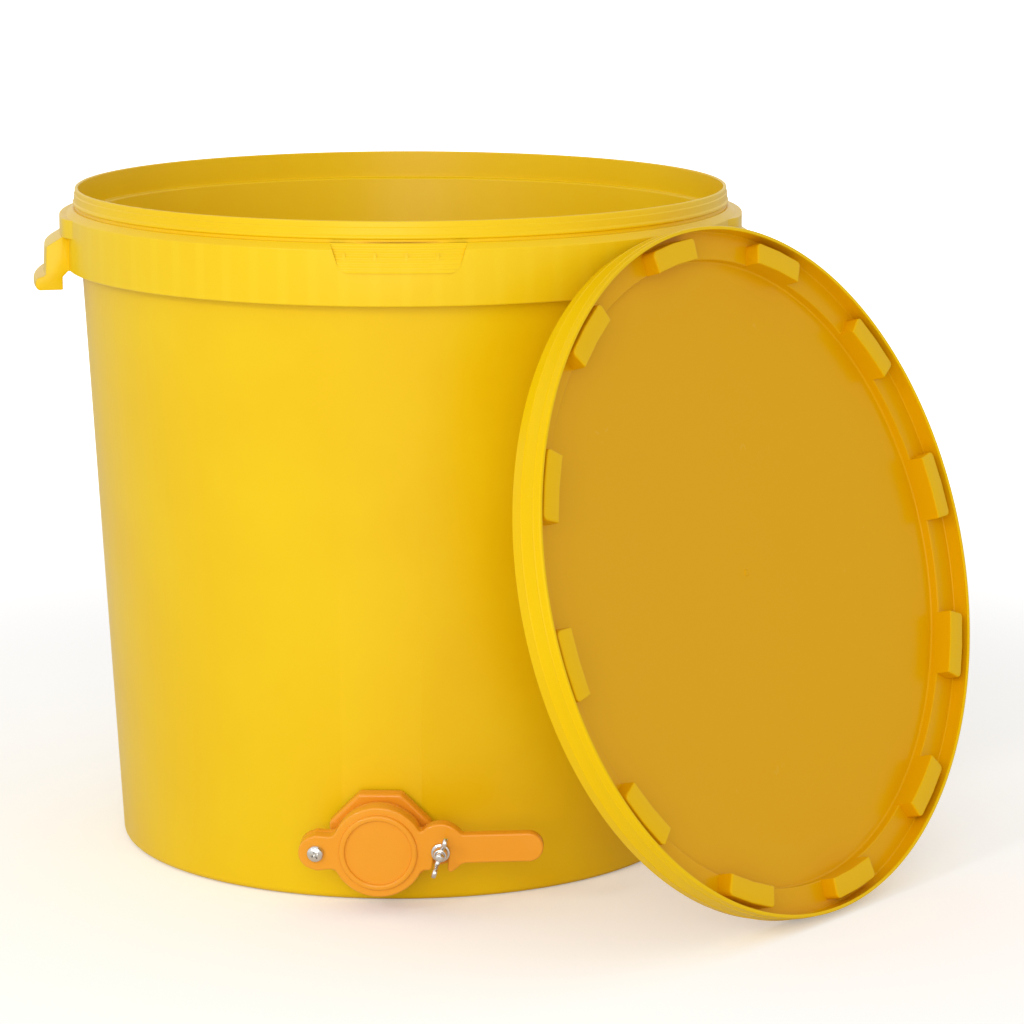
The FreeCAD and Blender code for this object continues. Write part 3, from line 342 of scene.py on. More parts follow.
def cut(piece, tools, sharp=35):
    """Cut tool objects out of a piece."""
    for tool in tools:
        modifier = piece.modifiers.new("cut", "BOOLEAN")
        modifier.operation = "DIFFERENCE"
        modifier.solver = "EXACT"
        modifier.object = tool
    graph = bpy.context.evaluated_depsgraph_get()
    mesh = bpy.data.meshes.new_from_object(piece.evaluated_get(graph))
    piece.modifiers.clear()
    piece.data = mesh
    for tool in tools:
        bpy.data.objects.remove(tool)
    smooth(piece, sharp)


def turned(part, angle):
    """Turn a mesh about Z, from -Y towards +X."""
    matrix = Matrix.Rotation(angle, 3, "Z")
    verts, faces = part
    return [tuple(matrix @ Vector(vert)) for vert in verts], faces


# Frames of the gate and the lid

gate_frame = (
    Matrix.Translation((0, -wall_outside(GATE_HEIGHT), GATE_HEIGHT))
    @ Matrix.Rotation(math.pi / 2 + DRAFT, 4, "X")
)
lid_frame = (
    Matrix.Translation(
        (LID_DISTANCE * math.sin(LID_DIRECTION), -LID_DISTANCE * math.cos(LID_DIRECTION), LID_HEIGHT)
    )
    @ Matrix.Rotation(LID_DIRECTION - math.pi / 2, 4, "Z")
    @ Matrix.Rotation(-math.pi / 2 - LID_LEAN, 4, "Y")
)


def on_gate(x=0.0, out=0.0, turn=0.0, up=0.0):
    return gate_frame @ Matrix.Translation((x, up, out)) @ Matrix.Rotation(turn, 4, "Z")


# Materials

def new_material(name):
    material = bpy.data.materials.new(name)
    material.use_nodes = True
    nodes, links = material.node_tree.nodes, material.node_tree.links
    return material, nodes, links, nodes["Principled BSDF"]


def add_node(nodes, kind, **values):
    node = nodes.new(kind)
    for key, value in values.items():
        if key in node.inputs:
            node.inputs[key].default_value = value
        else:
            setattr(node, key, value)
    return node


def math_node(nodes, links, operation, first, second=None):
    node = nodes.new("ShaderNodeMath")
    node.operation = operation
    for socket, value in zip(node.inputs, (first, second)):
        if value is None:
            continue
        if isinstance(value, (int, float)):
            socket.default_value = value
        else:
            links.new(value, socket)
    return node.outputs[0]


def mix_colour(nodes, links, share, first, second):
    node = nodes.new("ShaderNodeMix")
    node.data_type = "RGBA"
    if isinstance(share, (int, float)):
        node.inputs[0].default_value = share
    else:
        links.new(share, node.inputs[0])
    for socket, value in ((node.inputs[6], first), (node.inputs[7], second)):
        if isinstance(value, tuple):
            socket.default_value = value
        else:
            links.new(value, socket)
    return node.outputs[2]


def srgb(red, green, blue):
    """A display colour, 0 to 255, as the linear colour that a shader takes."""
    values = [value / 255 for value in (red, green, blue)]
    return tuple(v / 12.92 if v <= 0.04045 else ((v + 0.055) / 1.055) ** 2.4 for v in values) + (1.0,)


def moulded_plastic(name, colour, shade, roughness, gleam, regions=None):
    """Moulded plastic: cloudy colour, uneven gloss and a fine orange-peel skin."""
    material, nodes, links, shader = new_material(name)
    place = nodes.new("ShaderNodeTexCoord").outputs["Object"]
    cloud = add_node(nodes, "ShaderNodeTexNoise", Scale=14.0, Detail=3.0, Roughness=0.5)
    links.new(place, cloud.inputs["Vector"])
    tone = add_node(nodes, "ShaderNodeMapRange", **{"From Min": 0.35, "From Max": 0.65})
    links.new(cloud.outputs["Fac"], tone.inputs["Value"])
    paint = mix_colour(nodes, links, tone.outputs[0], colour, shade)
    if regions:
        paint = regions(nodes, links, place, paint)
    links.new(paint, shader.inputs["Base Color"])
    gloss = add_node(nodes, "ShaderNodeTexNoise", Scale=45.0, Detail=4.0, Roughness=0.6)
    links.new(place, gloss.inputs["Vector"])
    spread = add_node(
        nodes, "ShaderNodeMapRange", **{"To Min": roughness * 0.85, "To Max": roughness * 1.2}
    )
    links.new(gloss.outputs["Fac"], spread.inputs["Value"])
    links.new(spread.outputs[0], shader.inputs["Roughness"])
    skin = add_node(nodes, "ShaderNodeTexNoise", Scale=700.0, Detail=2.0, Roughness=0.5)
    links.new(place, skin.inputs["Vector"])
    bump = add_node(nodes, "ShaderNodeBump", Strength=0.02, Distance=0.001)
    links.new(skin.outputs["Fac"], bump.inputs["Height"])
    links.new(bump.outputs[0], shader.inputs["Normal"])
    shader.inputs["Specular IOR Level"].default_value = gleam
    shader.inputs["IOR"].default_value = 1.5
    return material


def ramp(nodes, links, value, low, high):
    """0 below one value, 1 above the other, smooth between."""
    node = add_node(nodes, "ShaderNodeMapRange", **{"From Min": low, "From Max": high})
    node.interpolation_type = "SMOOTHSTEP"
    links.new(value, node.inputs["Value"])
    return node.outputs[0]


def vector_node(nodes, links, operation, first, second, output=0):
    node = nodes.new("ShaderNodeVectorMath")
    node.operation = operation
    for socket, value in zip(node.inputs, (first, second)):
        if isinstance(value, (tuple, Vector)):
            socket.default_value = tuple(value)
        elif value is not None:
            links.new(value, socket)
    return node.outputs[output]


def collar_painted_glow(nodes, links, place, paint):
    """Painted light showing through the thin collar: a paler tone over the collar, and a faint pale line
    at each web behind it.
    """
    split = nodes.new("ShaderNodeSeparateXYZ")
    links.new(place, split.inputs[0])
    x, y, z = split.outputs
    flat = vector_node(nodes, links, "MULTIPLY", place, (1, 1, 0))
    radius = vector_node(nodes, links, "LENGTH", flat, None, 1)
    mask = ramp(nodes, links, radius, 0.1885, 0.1892)
    mask = math_node(nodes, links, "MULTIPLY", mask, ramp(nodes, links, z, 0.329, 0.330))
    mask = math_node(nodes, links, "MULTIPLY", mask, ramp(nodes, links, z, 0.361, 0.360))
    turn = math_node(nodes, links, "ARCTAN2", x, y)
    wave = math_node(nodes, links, "COSINE", math_node(nodes, links, "MULTIPLY", turn, float(RIBS)))
    line = math_node(nodes, links, "MULTIPLY", ramp(nodes, links, wave, 0.0, 1.0), 0.4)
    pale = mix_colour(nodes, links, 0.25, paint, COLLAR_LIGHT_GLOW)
    lined = mix_colour(nodes, links, line, pale, COLLAR_LIGHT_GLOW)
    return mix_colour(nodes, links, mask, paint, lined)


def lid_inside_shade(nodes, links, place, paint):
    """Painted shade inside the lid: its inside gets a deeper, more orange yellow than its outside, for the
    shade and bounced light in there.
    """
    middle = lid_frame.translation * MM
    axis = (lid_frame.to_3x3() @ Vector((0, 0, 1))).normalized()
    arm = vector_node(nodes, links, "SUBTRACT", place, middle)
    depth = vector_node(nodes, links, "DOT_PRODUCT", arm, axis, 1)
    side = vector_node(nodes, links, "CROSS_PRODUCT", arm, axis)
    radius = vector_node(nodes, links, "LENGTH", side, None, 1)
    mask = ramp(nodes, links, radius, (LID_INNER + 0.5) * MM, (LID_INNER + 0.2) * MM)
    mask = math_node(nodes, links, "MULTIPLY", mask, ramp(nodes, links, depth, 0.0005, 0.003))
    mask = math_node(nodes, links, "MULTIPLY", mask, ramp(nodes, links, depth, 0.0168, 0.0165))
    return mix_colour(nodes, links, mask, paint, LID_PAINTED_SHADE)


def bright_steel(name):
    """Bright steel with a finely uneven polish."""
    roughness = 0.22
    material, nodes, links, shader = new_material(name)
    place = nodes.new("ShaderNodeTexCoord").outputs["Object"]
    cloud = add_node(nodes, "ShaderNodeTexNoise", Scale=400.0, Detail=4.0, Roughness=0.6)
    links.new(place, cloud.inputs["Vector"])
    paint = mix_colour(nodes, links, cloud.outputs["Fac"], (0.62, 0.61, 0.59, 1), (0.78, 0.77, 0.76, 1))
    links.new(paint, shader.inputs["Base Color"])
    spread = add_node(
        nodes, "ShaderNodeMapRange", **{"To Min": roughness * 0.7, "To Max": roughness * 1.4}
    )
    links.new(cloud.outputs["Fac"], spread.inputs["Value"])
    links.new(spread.outputs[0], shader.inputs["Roughness"])
    shader.inputs["Metallic"].default_value = 1.0
    bump = add_node(nodes, "ShaderNodeBump", Strength=0.05, Distance=0.0005)
    links.new(cloud.outputs["Fac"], bump.inputs["Height"])
    links.new(bump.outputs[0], shader.inputs["Normal"])
    return material


def matt_rubber(name):
    material, nodes, links, shader = new_material(name)
    place = nodes.new("ShaderNodeTexCoord").outputs["Object"]
    cloud = add_node(nodes, "ShaderNodeTexNoise", Scale=300.0, Detail=5.0, Roughness=0.7)
    links.new(place, cloud.inputs["Vector"])
    paint = mix_colour(nodes, links, cloud.outputs["Fac"], (0.012, 0.012, 0.012, 1), (0.03, 0.03, 0.03, 1))
    links.new(paint, shader.inputs["Base Color"])
    shader.inputs["Roughness"].default_value = 0.75
    bump = add_node(nodes, "ShaderNodeBump", Strength=0.15, Distance=0.0005)
    links.new(cloud.outputs["Fac"], bump.inputs["Height"])
    links.new(bump.outputs[0], shader.inputs["Normal"])
    return material


# Painted glow of light showing through the thin collar.
COLLAR_LIGHT_GLOW = srgb(243, 208, 30)
# Painted shade: the deeper, more orange yellow of the lid's shaded inside.
LID_PAINTED_SHADE = srgb(227, 169, 0)

tank_plastic = moulded_plastic(
    "tank_plastic", srgb(241, 202, 6), srgb(239, 197, 0), 0.33, 0.28, regions=collar_painted_glow
)
lid_plastic = moulded_plastic(
    "lid_plastic", srgb(240, 198, 4), srgb(238, 194, 0), 0.25, 0.1, regions=lid_inside_shade
)
gate_plastic = moulded_plastic("gate_plastic", srgb(243, 166, 46), srgb(240, 159, 38), 0.17, 0.3)
steel = bright_steel("bright_steel")
rubber = matt_rubber("gasket_rubber")


def finish_piece(piece, material, body, slot, *nodes):
    """Give a piece its material and its body, and hide the CAD nodes that it stands for."""
    piece.data.materials.clear()
    piece.data.materials.append(material)
    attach(piece, body)
    if nodes:
        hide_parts(*nodes)
    return piece


# Tank

def tank_profile():
    web = 357.8
    inner_low = 5.5
    inner = wall_outside(inner_low) - WALL
    corners = [
        (BASE_RADIUS - 8, 0, 0.6),
        (BASE_RADIUS, 0, 4.0),
        (wall_outside(web), web, 0.8),
        (COLLAR - 2.2, web, 0.8),
        (COLLAR - 2.2, COLLAR_LOW, 0.6),
        (COLLAR, COLLAR_LOW, 0.9),
        (COLLAR, SHOULDER_LOW, 1.2),
        (RIM + 0.8, SHOULDER_TOP, 0.5),
        (RIM - 0.7, SHOULDER_TOP, 0.3),
        (RIM - 0.7, 365.2, 0.3),
        (RIM + 0.7, 366.0, 0.4),
        (RIM + 0.7, 367.0, 0.4),
        (RIM, 368.0, 0.4),
        (RIM, 371.5, 0.4),
        (RIM - 0.5, 372.0, 0.3),
        (RIM - 0.5, HEIGHT, 0.8),
        (RIM - 2.4, HEIGHT, 0.8),
        (RIM - 2.4, 359.4, 0.3),
        (wall_outside(358.9) - WALL, 358.9, 1.5),
        (inner, inner_low, 3.0),
        (0, inner_low),
        (0, 2.5),
        (BASE_RADIUS - 10.5, 2.5, 1.0),
    ]
    return rounded(corners, 5)


def make_tank():
    shell = build("tank_shell", *revolve(tank_profile(), 288), sharp=30)
    drill = stack([[(x, y, z) for x, y in circle(0, 0, OUTLET_HOLE, 96)] for z in (-12, 12)])
    hole = build("hole_tool", *drill, place=on_gate())
    cut(shell, [hole, tab_tool()], 30)
    return shell


def tab_half_width(height):
    """Half the thumb tab's width at a height, with rounded lower corners."""
    half = TAB_LOW_HALF + (TAB_TOP_HALF - TAB_LOW_HALF) * (height - TAB_LOW) / (TAB_TOP - TAB_LOW)
    rise = height - TAB_LOW
    if rise < TAB_CORNER:
        half -= TAB_CORNER - math.sqrt(max(TAB_CORNER * TAB_CORNER - (TAB_CORNER - rise) ** 2, 0))
    return half


def tab_tool():
    """Block that opens the collar where the thumb tab goes."""
    heights = [TAB_LOW + (TAB_TOP + 0.6 - TAB_LOW) * step / 12 for step in range(13)]
    loops = []
    for height in heights:
        half = tab_half_width(height) + 0.05
        front, back = -200, -183.2
        corners = [(-half, front), (half, front), (half, back), (-half, back)]
        loops.append([(x, y, height) for x, y in corners])
    verts, faces = turned(stack(loops), MOULDING_TURN)
    return build("tab_tool", verts, faces)


def make_tab():
    """Thumb tab: a ramp that starts inside the shoulder and ends proud of the collar, with ridges."""
    rows = []
    ridges = 6
    pitch = (TAB_TOP - TAB_LOW) / ridges
    steps = ridges * 8
    for step in range(steps + 1):
        height = TAB_LOW + (TAB_TOP - TAB_LOW) * step / steps
        share = (height - TAB_LOW) / (TAB_TOP - TAB_LOW)
        ridge = 0.22 * math.cos(2 * math.pi * (height - TAB_LOW) / pitch)
        rows.append((height, COLLAR + 0.9 - 4.1 * share + ridge - 0.22))
    verts, faces = [], []
    columns = 24
    for depth in (0, 1):
        for height, radius in rows:
            half = tab_half_width(height)
            for column in range(columns + 1):
                x = half * (2 * column / columns - 1)
                r = radius - depth * (radius - TAB_INNER)
                verts.append((x, -math.sqrt(r * r - x * x), height))
    size = columns + 1
    layer = len(rows) * size
    for row in range(len(rows) - 1):
        for column in range(columns):
            a = row * size + column
            faces.append((a, a + 1, a + size + 1, a + size))
            faces.append((a + layer, a + size + layer, a + size + 1 + layer, a + 1 + layer))
    for row in range(len(rows) - 1):
        for column in (0, columns):
            a = row * size + column
            faces.append((a, a + size, a + size + layer, a + layer))
    for column in range(columns):
        for row in (0, len(rows) - 1):
            a = row * size + column
            faces.append((a, a + 1, a + 1 + layer, a + layer))
    return turned((verts, faces), MOULDING_TURN)


def ear_part(outline, start, end, edge=0.8, steps=24):
    """A piece of a ring with rounded ends, from a (radius, height) outline."""
    loops = []
    levels = [(edge, 0), (edge * 0.3, edge * 0.3), (0, edge)]
    turns = [start + (end - start) * step / steps for step in range(1, steps)]
    rings = [(amount, start + depth / 195) for amount, depth in levels]
    rings += [(0, turn) for turn in turns if start + edge / 190 < turn < end - edge / 190]
    rings += [(amount, end - depth / 195) for amount, depth in reversed(levels)]
    for amount, turn in rings:
        shrunk = inset(outline, amount)
        loops.append([(r * math.sin(turn), -r * math.cos(turn), z) for r, z in shrunk])
    return stack(loops)


def ear_pad():
    """Thickening of the collar above an ear; it runs out into the collar at both ends."""
    loops = []
    for step in range(49):
        turn = math.radians(17.6) * (step / 24 - 1)
        share = min(max((17.4 - abs(math.degrees(turn))) / 5.2, 0), 1)
        radius = 189.5 + 4.2 * share * share * (3 - 2 * share)
        outline = rounded([
            (EAR_JOIN, PAD_LOW),
            (radius, PAD_LOW, 0.25),
            (radius, SHOULDER_LOW, 0.3),
            (EAR_JOIN, SHOULDER_LOW),
        ])
        loops.append([(r * math.sin(turn), -r * math.cos(turn), z) for r, z in outline])
    return stack(loops)


def make_ear(direction):
    """One grip ear: pad, channel open below, finger roll and end walls."""
    half = math.radians(12.3)
    wall = math.radians(0.75)
    face = [
        (EAR_BACK, PAD_LOW, 0.4),
        (EAR_JOIN, PAD_LOW),
        (EAR_JOIN, 347.3),
        (EAR_BACK, 347.3, 1.5),
        (200.0, 343.2, 1.5),
        (201.0, EAR_LOW, 0.4),
        (EAR_ROLL, EAR_LOW, 2.6),
        (EAR_ROLL, 326.4, 2.4),
        (203.1, 328.3, 1.6),
        (EAR_FRONT, 344.4, 1.6),
    ]
    end = [
        (EAR_BACK, PAD_LOW, 0.4),
        (EAR_JOIN, PAD_LOW),
        (EAR_JOIN, COLLAR_LOW),
        (190.6, COLLAR_LOW, 0.4),
        (EAR_BACK, 327.3, 1.0),
        (EAR_BACK, EAR_LOW, 0.6),
        (EAR_ROLL, EAR_LOW, 2.6),
        (EAR_ROLL, 326.4, 2.4),
        (203.1, 328.3, 1.6),
        (EAR_FRONT, 344.4, 1.6),
    ]
    channel = rounded(face, 4)
    closed = rounded(end, 4)
    parts = [
        ear_pad(),
        ear_part(channel, -half + wall / 2, half - wall / 2, 0.01),
        ear_part(closed, -half, -half + wall, 0.5, 2),
        ear_part(closed, half - wall, half, 0.5, 2),
    ]
    return turned(merge(*parts), MOULDING_TURN + direction)


def make_webs():
    """Webs between wall and collar, and the ribs and hub under the base."""
    parts = []
    low, high = 334.4, 358.6
    thick = WEB_THICKNESS / 2
    for index in range(RIBS):
        turn = 2 * math.pi * index / RIBS
        loops = []
        for height in (low, high):
            inner, outer = wall_outside(height) - 1, COLLAR - 1
            corners = [(-thick, -outer), (thick, -outer), (thick, -inner), (-thick, -inner)]
            loops.append([(x, y, height) for x, y in corners])
        parts.append(turned(stack(loops), turn))
    hub = slab(circle(0, 0, 30, 96), 0.0, 3.2, 0.1, 0.5)
    parts.append(hub)
    for index in range(8):
        bar = rounded([(15, -1, 0.3), (156.2, -1, 0.3), (156.2, 1, 0.3), (15, 1, 0.3)])
        verts, faces = slab(bar, 0.02, 3.2, 0.1, 0.4)
        parts.append(turned((verts, faces), 2 * math.pi * index / 8))
    return merge(*parts)


tank = make_tank()
extras = build(
    "tank_extras",
    *merge(make_tab(), make_ear(math.pi / 2), make_ear(-math.pi / 2), make_webs()),
    sharp=30,
)
finish_piece(tank, tank_plastic, "tank", "tank_plastic", "tank_body")
finish_piece(extras, tank_plastic, "tank", "tank_plastic")


# Gate

def make_gate_body():
    octagon = rounded(polygon(55.4, 8, 3.2), 6)
    flange = slab(octagon, 2.2, FLANGE_FRONT, 1.6, 0.4)
    neck = rounded([
        (OUTLET_BORE, 1.0),
        (22.4, 1.0),
        (22.4, 10.5, 0.2),
        (21.6, 10.7, 0.2),
        (21.6, 11.4, 0.2),
        (23.8, 11.7, 0.5),
        (23.8, 13.4, 0.5),
        (21.6, 13.7, 0.2),
        (21.6, PLATE_BACK + 0.6),
        (OUTLET_BORE, PLATE_BACK + 0.6),
    ])
    lugs = blend_fields([
        disc_field(0, 0, PLATE_RADIUS),
        disc_field(-PIVOT_SPAN, 0, LUG_RADIUS),
        disc_field(BOLT_X, BOLT_Y, LUG_RADIUS),
        polygon_field([(-34, -LUG_RADIUS), (34, -7.9), (34, 10.9), (-34, LUG_RADIUS)]),
    ], 2.0)
    ears = trace(lugs, (-48, -28, 48, 28), 0.6)[0]
    lug_slab = slab(ears, PLATE_BACK, GATE_FACE, 0.8, 0.5)
    nipple = thread(20.9, 20.1, -16.0, 4.0, 2.3, OUTLET_BORE)
    body = build("gate_body_piece", *merge(flange, lug_slab), place=on_gate(), sharp=30)
    drill = stack([[(x, y, z) for x, y in circle(0, 0, OUTLET_BORE, 96)] for z in (-30, 30)])
    groove = revolve([(19.2, 17.6), (21.6, 17.6), (21.6, 21), (19.2, 21)], 96)
    tools = [build("bore_tool", *drill, place=on_gate()), build("groove_tool", *groove, place=on_gate())]
    for x, y in ((-PIVOT_SPAN, 0), (BOLT_X, BOLT_Y)):
        hole = stack([[(px, py, z) for px, py in circle(x, y, SCREW_HOLE, 32)] for z in (10, 30)])
        tools.append(build("hole_tool", *hole, place=on_gate()))
    recess = stack([[(x, y, z) for x, y, _ in polygon(8.2, 6)] for z in (10, PLATE_BACK + 3.0)])
    tools.append(build("recess_tool", *recess, place=on_gate(BOLT_X, 0, 0, BOLT_Y)))
    cut(body, tools, 30)
    rest = build("gate_neck_piece", *merge(revolve(neck, 96), nipple), place=on_gate(), sharp=30)
    return body, rest


def thread(outer, root, low, high, pitch, bore):
    """A tube with a rounded helical thread outside, between two heights."""
    around, along = 72, int((high - low) / pitch * 10)
    verts, faces = [], []
    for row in range(along + 1):
        height = low + (high - low) * row / along
        for column in range(around):
            turn = 2 * math.pi * column / around
            phase = 2 * math.pi * (height - low) / pitch - turn
            fade = min(1, (height - low) / pitch, (high - height) / pitch)
            radius = root + (outer - root) * (0.5 + 0.5 * math.cos(phase)) * max(fade, 0)
            verts.append((radius * math.cos(turn), radius * math.sin(turn), height))
    base = len(verts)
    for height in (low, high):
        verts += [(x, y, height) for x, y in circle(0, 0, bore, around)]
    for row in range(along):
        for column in range(around):
            after = (column + 1) % around
            a, b = row * around, (row + 1) * around
            faces.append((a + column, a + after, b + after, b + column))
    for column in range(around):
        after = (column + 1) % around
        faces.append((column, base + column, base + after, after))
        top = along * around
        faces.append((top + column, top + after, base + around + after, base + around + column))
        faces.append((base + column, base + around + column, base + around + after, base + after))
    return verts, faces


def flap_outline():
    """The flap without its handle, in the flap's frame: origin at the pivot, disc on the x axis."""
    flat = LUG_RADIUS - 0.1
    return blend_fields([
        disc_field(PIVOT_SPAN, 0, PLATE_RADIUS),
        disc_field(0, 0, LUG_RADIUS),
        polygon_field([(0, -flat), (30, -flat), (30, flat), (0, flat)]),
        disc_field(SLOT_MIDDLE, 2.2, 13.5),
        polygon_field([(30, -10.2), (63.4, -10.2), (66, -5), (66, 2.2), (30, 2.2)]),
        polygon_field([(66, -9.4), (72.0, -9.4), (78.4, -4.0), (78.4, 0.4), (66, 0.4)], 2.0),
    ], 2.4)


def clamp_slot(px, py):
    """Slot that lets the clamp bolt pass: an arc about the pivot, closed above the bolt."""
    radius = np.hypot(px, py)
    ring = np.abs(radius - SLOT_MIDDLE) - SLOT_HALF
    ring = np.where((py > 0) | (px < 0), 1e3, ring)
    return np.minimum(ring, np.hypot(px - SLOT_MIDDLE, py) - SLOT_HALF)


def make_flap():
    slope = math.radians(1.0)
    handle_end = (114.6, 2.2)
    root = (80.0, 2.2 - (114.6 - 80.0) * math.tan(slope))
    whole = blend_fields([flap_outline(), bar_field(root, handle_end, 8.0)], 1.6)
    box = (-12, -28, 126, 28)
    front_loop = max(trace(cut_field(whole, clamp_slot, 3.2), box, 0.5), key=len)
    back_loop = max(trace(cut_field(flap_outline(), clamp_slot, 3.2), box, 0.5), key=len)
    behind = FLAP_THICKNESS - HANDLE_THICKNESS
    plate = slab(front_loop, behind, FLAP_THICKNESS, 1.1, 0.05, 6)
    layer = slab(inset(back_loop, 0.04), 0.0, behind + 1.0, 0.05, 0.5)
    ring = rounded([(18.0, 7.0), (21.2, 7.0), (21.2, 9.6, 1.3), (18.0, 9.6, 1.1)], 6)
    place = on_gate(-PIVOT_SPAN, FLAP_BACK, FLAP_TURN)
    hole = stack([[(x, y, z) for x, y in circle(0, 0, SCREW_HOLE, 32)] for z in (-2, 12)])
    pieces = []
    for name, part in (("gate_flap_piece", plate), ("gate_flap_back", layer)):
        piece = build(name, *part, place=place, sharp=30)
        cut(piece, [build("hole_tool", *hole, place=place)], 30)
        pieces.append(piece)
    raised = build(
        "gate_flap_ring",
        *revolve(ring, 96),
        place=place @ Matrix.Translation((PIVOT_SPAN, 0, 0)),
        sharp=30,
    )
    return pieces[0], pieces[1], raised


def make_wing_nut():
    hub = rounded([
        (2.55, 0, 0.2),
        (5.1, 0, 0.3),
        (5.1, 1.3, 0.5),
        (3.9, 1.6, 0.4),
        (3.5, 6.5, 0.5),
        (2.55, 6.5, 0.2),
    ])
    wing = blend_fields([
        bar_field((3.9, 3.4), (7.6, 6.6), 1.7),
        disc_field(8.9, 9.2, 2.9),
        polygon_field([(3.3, 1.6), (4.6, 1.6), (5.2, 5.6), (3.3, 5.8)]),
    ], 2.5)
    loop = max(trace(wing, (-2, -4, 16, 16), 0.25), key=len)
    verts, faces = slab(loop, -1.25, 1.25, 0.8, 0.8)
    wings = []
    for side in (1, -1):
        wings.append(([(side * x, -side * z, y) for x, y, z in verts], faces))
    return build(
        "wing_nut_piece",
        *merge(revolve(hub, 48), *wings),
        place=on_gate(BOLT_X, WING_FOOT, math.radians(72), BOLT_Y),
        sharp=30,
    )


def make_clamp_bolt():
    shaft = rounded([(0, 2.0), (2.5, 2.0), (2.5, 23.3, 0.9), (1.3, 24.2, 0.6), (0, 24.2)])
    head = slab(rounded(polygon(8, 6, 0.5)), 0, 3, 0.2, 0.4)
    return build(
        "clamp_bolt_piece",
        *merge(head, revolve(shaft, 48)),
        place=on_gate(BOLT_X, PLATE_BACK, 0, BOLT_Y),
        sharp=30,
    )


def make_pivot_screw():
    dome = [
        (0, -1),
        (2.4, -1),
        (2.4, 0),
        (4.5, 0, 0.3),
        (4.5, 1.4, 0.5),
        (3.6, 2.5, 1.2),
        (1.5, 3.0, 1.0),
        (0, 3.0),
    ]
    shank = rounded([(0, -19.4, 0), (2.5, -19.4, 0.6), (2.5, -0.5), (0, -0.5)])
    place = on_gate(-PIVOT_SPAN, WING_FOOT, math.radians(24))
    screw = build("pivot_screw_piece", *revolve(rounded(dome, 5), 64), place=place, sharp=40)
    tools = []
    for long_x, long_y in ((True, False), (False, True)):
        loops = []
        for z, reach in ((1.2, 1.5), (3.4, 2.5)):
            wide, high = (reach if long_x else 0.55), (reach if long_y else 0.55)
            loops.append([(-wide, -high, z), (wide, -high, z), (wide, high, z), (-wide, high, z)])
        tools.append(build("cross_tool", *stack(loops), place=place))
    cut(screw, tools, 40)
    shank_piece = build("pivot_shank_piece", *revolve(shank, 48), place=place)
    return screw, shank_piece


gate_main, gate_rest = make_gate_body()
finish_piece(gate_main, gate_plastic, "tank", "gate_plastic", "gate_body")
finish_piece(gate_rest, gate_plastic, "tank", "gate_plastic")
flap, flap_back, flap_ring = make_flap()
finish_piece(flap, gate_plastic, "flap", "gate_plastic", "gate_flap")
finish_piece(flap_back, gate_plastic, "flap", "gate_plastic")
finish_piece(flap_ring, gate_plastic, "flap", "gate_plastic")
finish_piece(make_wing_nut(), steel, "wing_nut", "bright_steel", "wing_nut")
finish_piece(make_clamp_bolt(), steel, "tank", "bright_steel", "clamp_bolt")
screw, shank = make_pivot_screw()
finish_piece(screw, steel, "tank", "bright_steel", "pivot_screw")
finish_piece(shank, steel, "tank", "bright_steel")


# Lid

def lid_profile():
    top = LID_SKIRT + 2.0
    panel_low, panel_top = 15.6, 17.6
    corners = [
        (LID_INNER - 0.6, 0, 0.3),
        (LID_OUTER - 0.4, 0, 0.5),
        (LID_OUTER, 0.8, 0.3),
        (LID_OUTER, 4.3, 0.2),
        (LID_OUTER + 0.4, 4.8, 0.3),
        (LID_OUTER, 5.3, 0.2),
        (LID_OUTER, 12.5, 0.2),
        (LID_OUTER + 0.4, 13.0, 0.3),
        (LID_OUTER - 0.3, 13.6, 0.2),
        (LID_OUTER - 1.0, LID_TOTAL, 1.0),
        (LID_INNER - 1.0, LID_TOTAL, 0.6),
        (LID_INNER - 1.0, top, 0.8),
        (LEDGE_INNER + 2.0, top, 0.8),
        (LEDGE_INNER + 2.0, panel_top, 1.0),
        (0, panel_top),
        (0, panel_low),
        (LEDGE_INNER, panel_low, 1.2),
        (LEDGE_INNER, LID_SKIRT, 0.8),
        (LID_INNER, LID_SKIRT, 0.8),
        (LID_INNER, 1.8, 0.3),
        (LID_INNER - 0.6, 1.0, 0.3),
    ]
    return rounded(corners, 5)


def lid_block():
    """One of the blocks that centre the lid inside the rim: flush with the ledge, round at its corners."""
    half = BLOCK_LENGTH / 2
    corner = 3.0
    edge = 1.0
    places = [half - corner * (1 - math.cos(math.pi / 2 * step / 8)) for step in range(9)]
    places = [-place for place in places] + [0.0] + list(reversed(places))
    loops = []
    for place in places:
        depth = max(abs(place) - (half - corner), 0)
        outer = BLOCK_OUTER - corner + math.sqrt(max(corner * corner - depth * depth, 0.01))
        tip = max(abs(place) - (half - edge), 0)
        low = 1.6 + edge - math.sqrt(max(edge * edge - tip * tip, 0.01))
        outline = rounded([
            (LEDGE_INNER - 0.12, low, 0.7),
            (outer, low, 0.9),
            (outer, 14.0),
            (LEDGE_INNER - 0.12, 14.0),
        ], 5)
        turn = place / 177
        loops.append([(r * math.sin(turn), -r * math.cos(turn), z) for r, z in outline])
    return stack(loops)


def make_lid():
    parts = [revolve(lid_profile(), 288)]
    for index in range(12):
        parts.append(turned(lid_block(), BLOCK_TURN + math.pi / 2 + index * math.pi / 6))
    nub = rounded([(0, 15.0), (1.6, 15.0, 0.5), (2.0, 15.8), (0, 15.8)])
    parts.append(revolve(nub, 32))
    return build("lid_piece", *merge(*parts), place=lid_frame, sharp=30)


finish_piece(make_lid(), lid_plastic, "tank", "lid_plastic", "lid")


# Carried-over nodes keep their shape and get their material

for name, material in (
    ("ring_nut", gate_plastic),
    ("outer_gasket", rubber),
    ("inner_gasket", rubber),
    ("face_seal", rubber),
    ("pivot_washer", steel),
    ("pivot_nut", steel),
):
    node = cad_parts[name]
    node.data.materials.clear()
    node.data.materials.append(material)
    smooth(node, 35)


# Stage: floor, world, lamps and camera

